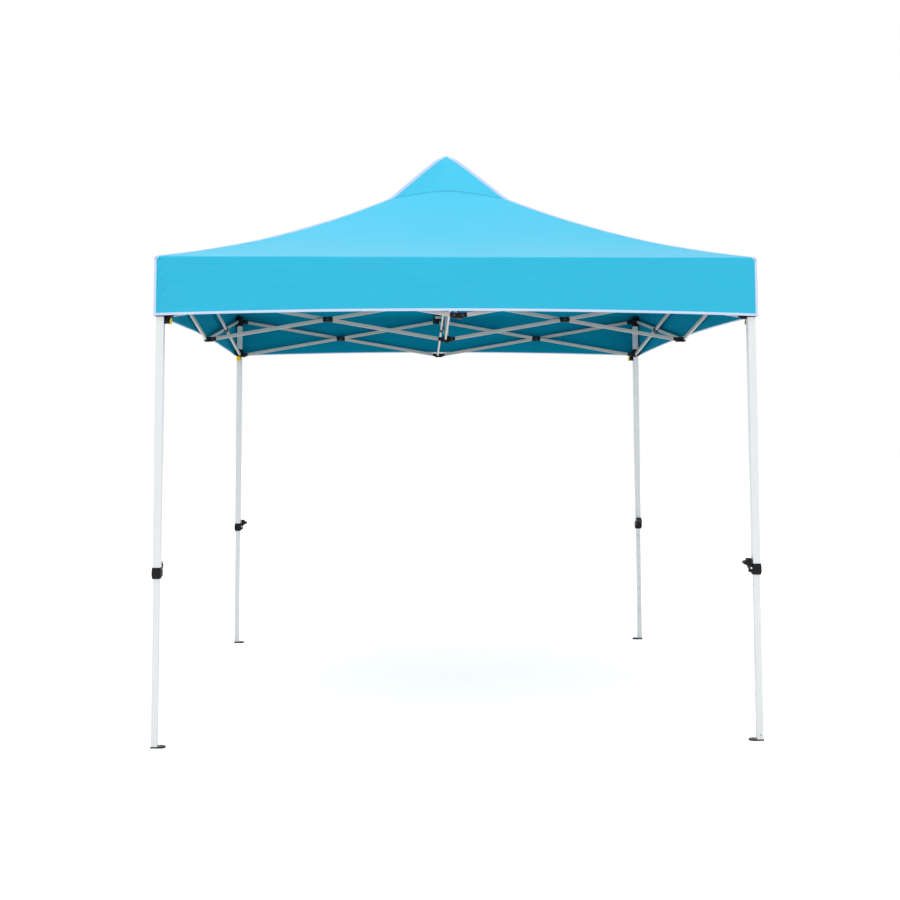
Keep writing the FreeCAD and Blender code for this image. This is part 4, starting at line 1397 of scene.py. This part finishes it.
def seam_band():
    """The doubled cloth at the foot of the cap: a low raised band round all four sides, in a darker cloth
    colour that is partly the doubled cloth and partly painted shade along the seam.
    """
    ups = [(-BAND_HALF, -TAPE_SINK), (-BAND_HALF, 0.0005), (-BAND_HALF * 0.7, 0.0010), (0.0, 0.0013),
           (BAND_HALF * 0.7, 0.0010), (BAND_HALF, 0.0005), (BAND_HALF, -TAPE_SINK)]
    sections = []
    for side in range(4):
        for n in range(CAP_COLUMNS):
            share = n / CAP_COLUMNS * 2 - 1
            outs = [EAVE_HALF * (1 - seam_share(share)) - inset for inset, up in ups]
            sections.append([roof_point(side, share * out, out) + Vector((0, 0, up))
                             for out, (inset, up) in zip(outs, ups)])
    return tape_mesh("cap_seam_band", [(sections, [inset for inset, up in ups])], "band", True)


def profile_length(outs):
    """The length of the roof's section down the middle of a side, through points at these distances
    from the mast."""
    points = [Vector((out, roof_z(0.0, out))) for out in outs]
    return sum((second - first).length for first, second in zip(points, points[1:]))


def slant_length():
    """The length of the cloth from the eave to the cap seam, down the middle of a gore."""
    return profile_length([EAVE_HALF - arched(inset, 0.0) for inset in gore_rows()])


def cap_slant():
    """The length of the cap's cloth from the seam to the peak."""
    outs = [EAVE_HALF * (1 - share) for share in cap_rows(0.0)] + [0.0]
    return profile_length(outs)


def build_roof():
    """Eight half gores, each on the truss bar under its eave, with the four lower hip tapes."""
    slant = slant_length()
    for side in range(4):
        insets = gore_rows()
        tape = cloth_piece(f"hip_tape_{CORNERS[side]}",
                           tape_mesh(f"hip_tape_{CORNERS[side]}", hip_tape(side, insets), "hip_tape"),
                           f"top_bar_{SIDES[side]}_left")
        gather_gore(tape, side, "left")
        for end in ("left", "right"):
            body = f"top_bar_{SIDES[side]}_{end}"
            piece = cloth_piece(f"roof_{SIDES[side]}_{end}", half_gore(side, end), body)
            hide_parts("canopy_roof")
            gather_gore(piece, side, end)


def build_cap():
    """The cap over the mast, with its seam band and the four upper hip tapes."""
    body, slant = "mast_rod", cap_slant()
    cap = cloth_piece("roof_cap", cap_mesh(), body)
    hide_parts("canopy_roof")
    band = cloth_piece("cap_seam_band", seam_band(), body)
    insets = [EAVE_HALF * share for share in cap_rows(1.0) if EAVE_HALF * (1 - share) > HIP_EDGE]
    runs = [run for side in range(4) for run in hip_tape(side, insets)]
    tape = cloth_piece("cap_hip_tape", tape_mesh("cap_hip_tape", runs, "hip_tape"), body)
    for piece in (cap, band, tape):
        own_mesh(piece)


def build_skirts():
    """The eight half skirts with their hem tapes, and the four corner tapes."""
    for side in range(4):
        corner = cloth_piece(f"corner_tape_{CORNERS[side]}", corner_tape(side), f"leg_{CORNERS[side]}")
        gather_skirt(corner)
        for end in ("left", "right"):
            body = f"top_bar_{SIDES[side]}_{end}"
            piece = cloth_piece(f"valance_{SIDES[side]}_{end}", half_skirt(side, end), body)
            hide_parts("canopy_valance")
            hem = cloth_piece(f"hem_tape_{SIDES[side]}_{end}", hem_tape(side, end), body)
            for soft in (piece, hem):
                gather_skirt(soft)


# ---------------------------------------------------------------- room, light and camera

FLOOR_GLOW = 0.32
FLOOR_RADIUS = 60.0


def stage_room():
    """A wide pale floor under a white sky."""
    constants = {"Roughness": 0.9, "Specular IOR Level": 0.1, "Emission Color": (1.0, 1.0, 1.0, 1.0),
                 "Emission Strength": FLOOR_GLOW}
    material, tree, surface = new_material("pale_floor", constants)
    place = coordinates(tree, "Object")
    cloud = noise_node(tree, place, 0.7, 2.0)
    colour = mixed(tree, cloud, (0.93, 0.93, 0.935, 1.0), (0.95, 0.95, 0.95, 1.0))
    tree.links.new(colour, surface.inputs["Base Color"])
    bm = bmesh.new()
    bmesh.ops.create_circle(bm, cap_ends=True, radius=FLOOR_RADIUS, segments=64)
    mesh = bpy.data.meshes.new("floor")
    bm.to_mesh(mesh)
    bm.free()
    mesh.materials.append(material)
    floor = bpy.data.objects.new("floor", mesh)
    floor.location.z = -0.0005
    bpy.context.scene.collection.objects.link(floor)


def soft_light(name, location, target, size, power, colour=(1.0, 1.0, 1.0)):
    light = bpy.data.lights.new(name, "AREA")
    light.shape, light.size, light.energy, light.color = "SQUARE", size, power, colour
    lamp = bpy.data.objects.new(name, light)
    lamp.location = location
    lamp.rotation_euler = (Vector(target) - Vector(location)).to_track_quat("-Z", "Y").to_euler()
    bpy.context.scene.collection.objects.link(lamp)


def light_room():
    world = bpy.data.worlds.new("studio")
    world.use_nodes = True
    backing = world.node_tree.nodes["Background"]
    backing.inputs["Color"].default_value = (1.0, 1.0, 1.0, 1.0)
    backing.inputs["Strength"].default_value = 1.0
    bpy.context.scene.world = world
    soft_light("overhead", (-1.0, -2.2, 8.5), (0, 0, 2.0), 7.0, 345.0)
    soft_light("front_fill", (5.0, -9.0, 4.0), (0, 0, 1.5), 5.0, 29.0)
    bpy.context.scene.view_settings.view_transform = "Standard"


CAMERA_PLACE = (-0.296, -7.401, 1.4915)
CAMERA_YAW = 0.0381
CAMERA_PITCH = 0.0743
CAMERA_ROLL = -0.0029
CAMERA_LENS = 47.93
CAMERA_SHIFT = (0.0062, -0.1152)


def add_camera():
    camera = bpy.data.objects.new("camera", bpy.data.cameras.new("camera"))
    camera.data.sensor_width = 36.0
    camera.data.lens = CAMERA_LENS
    camera.data.shift_x, camera.data.shift_y = CAMERA_SHIFT
    level = math.cos(CAMERA_PITCH)
    ahead = Vector((math.sin(CAMERA_YAW) * level, math.cos(CAMERA_YAW) * level, math.sin(CAMERA_PITCH)))
    right = Vector((math.cos(CAMERA_YAW), -math.sin(CAMERA_YAW), 0.0))
    up = right.cross(ahead)
    rolled = right * math.cos(CAMERA_ROLL) + up * math.sin(CAMERA_ROLL)
    raised = up * math.cos(CAMERA_ROLL) - right * math.sin(CAMERA_ROLL)
    turn = Matrix((rolled, raised, -ahead)).transposed().to_4x4()
    camera.matrix_world = Matrix.Translation(CAMERA_PLACE) @ turn
    bpy.context.scene.collection.objects.link(camera)
    bpy.context.scene.camera = camera


add_camera()
light_room()
stage_room()
build_frame()
build_roof()
build_cap()
build_skirts()
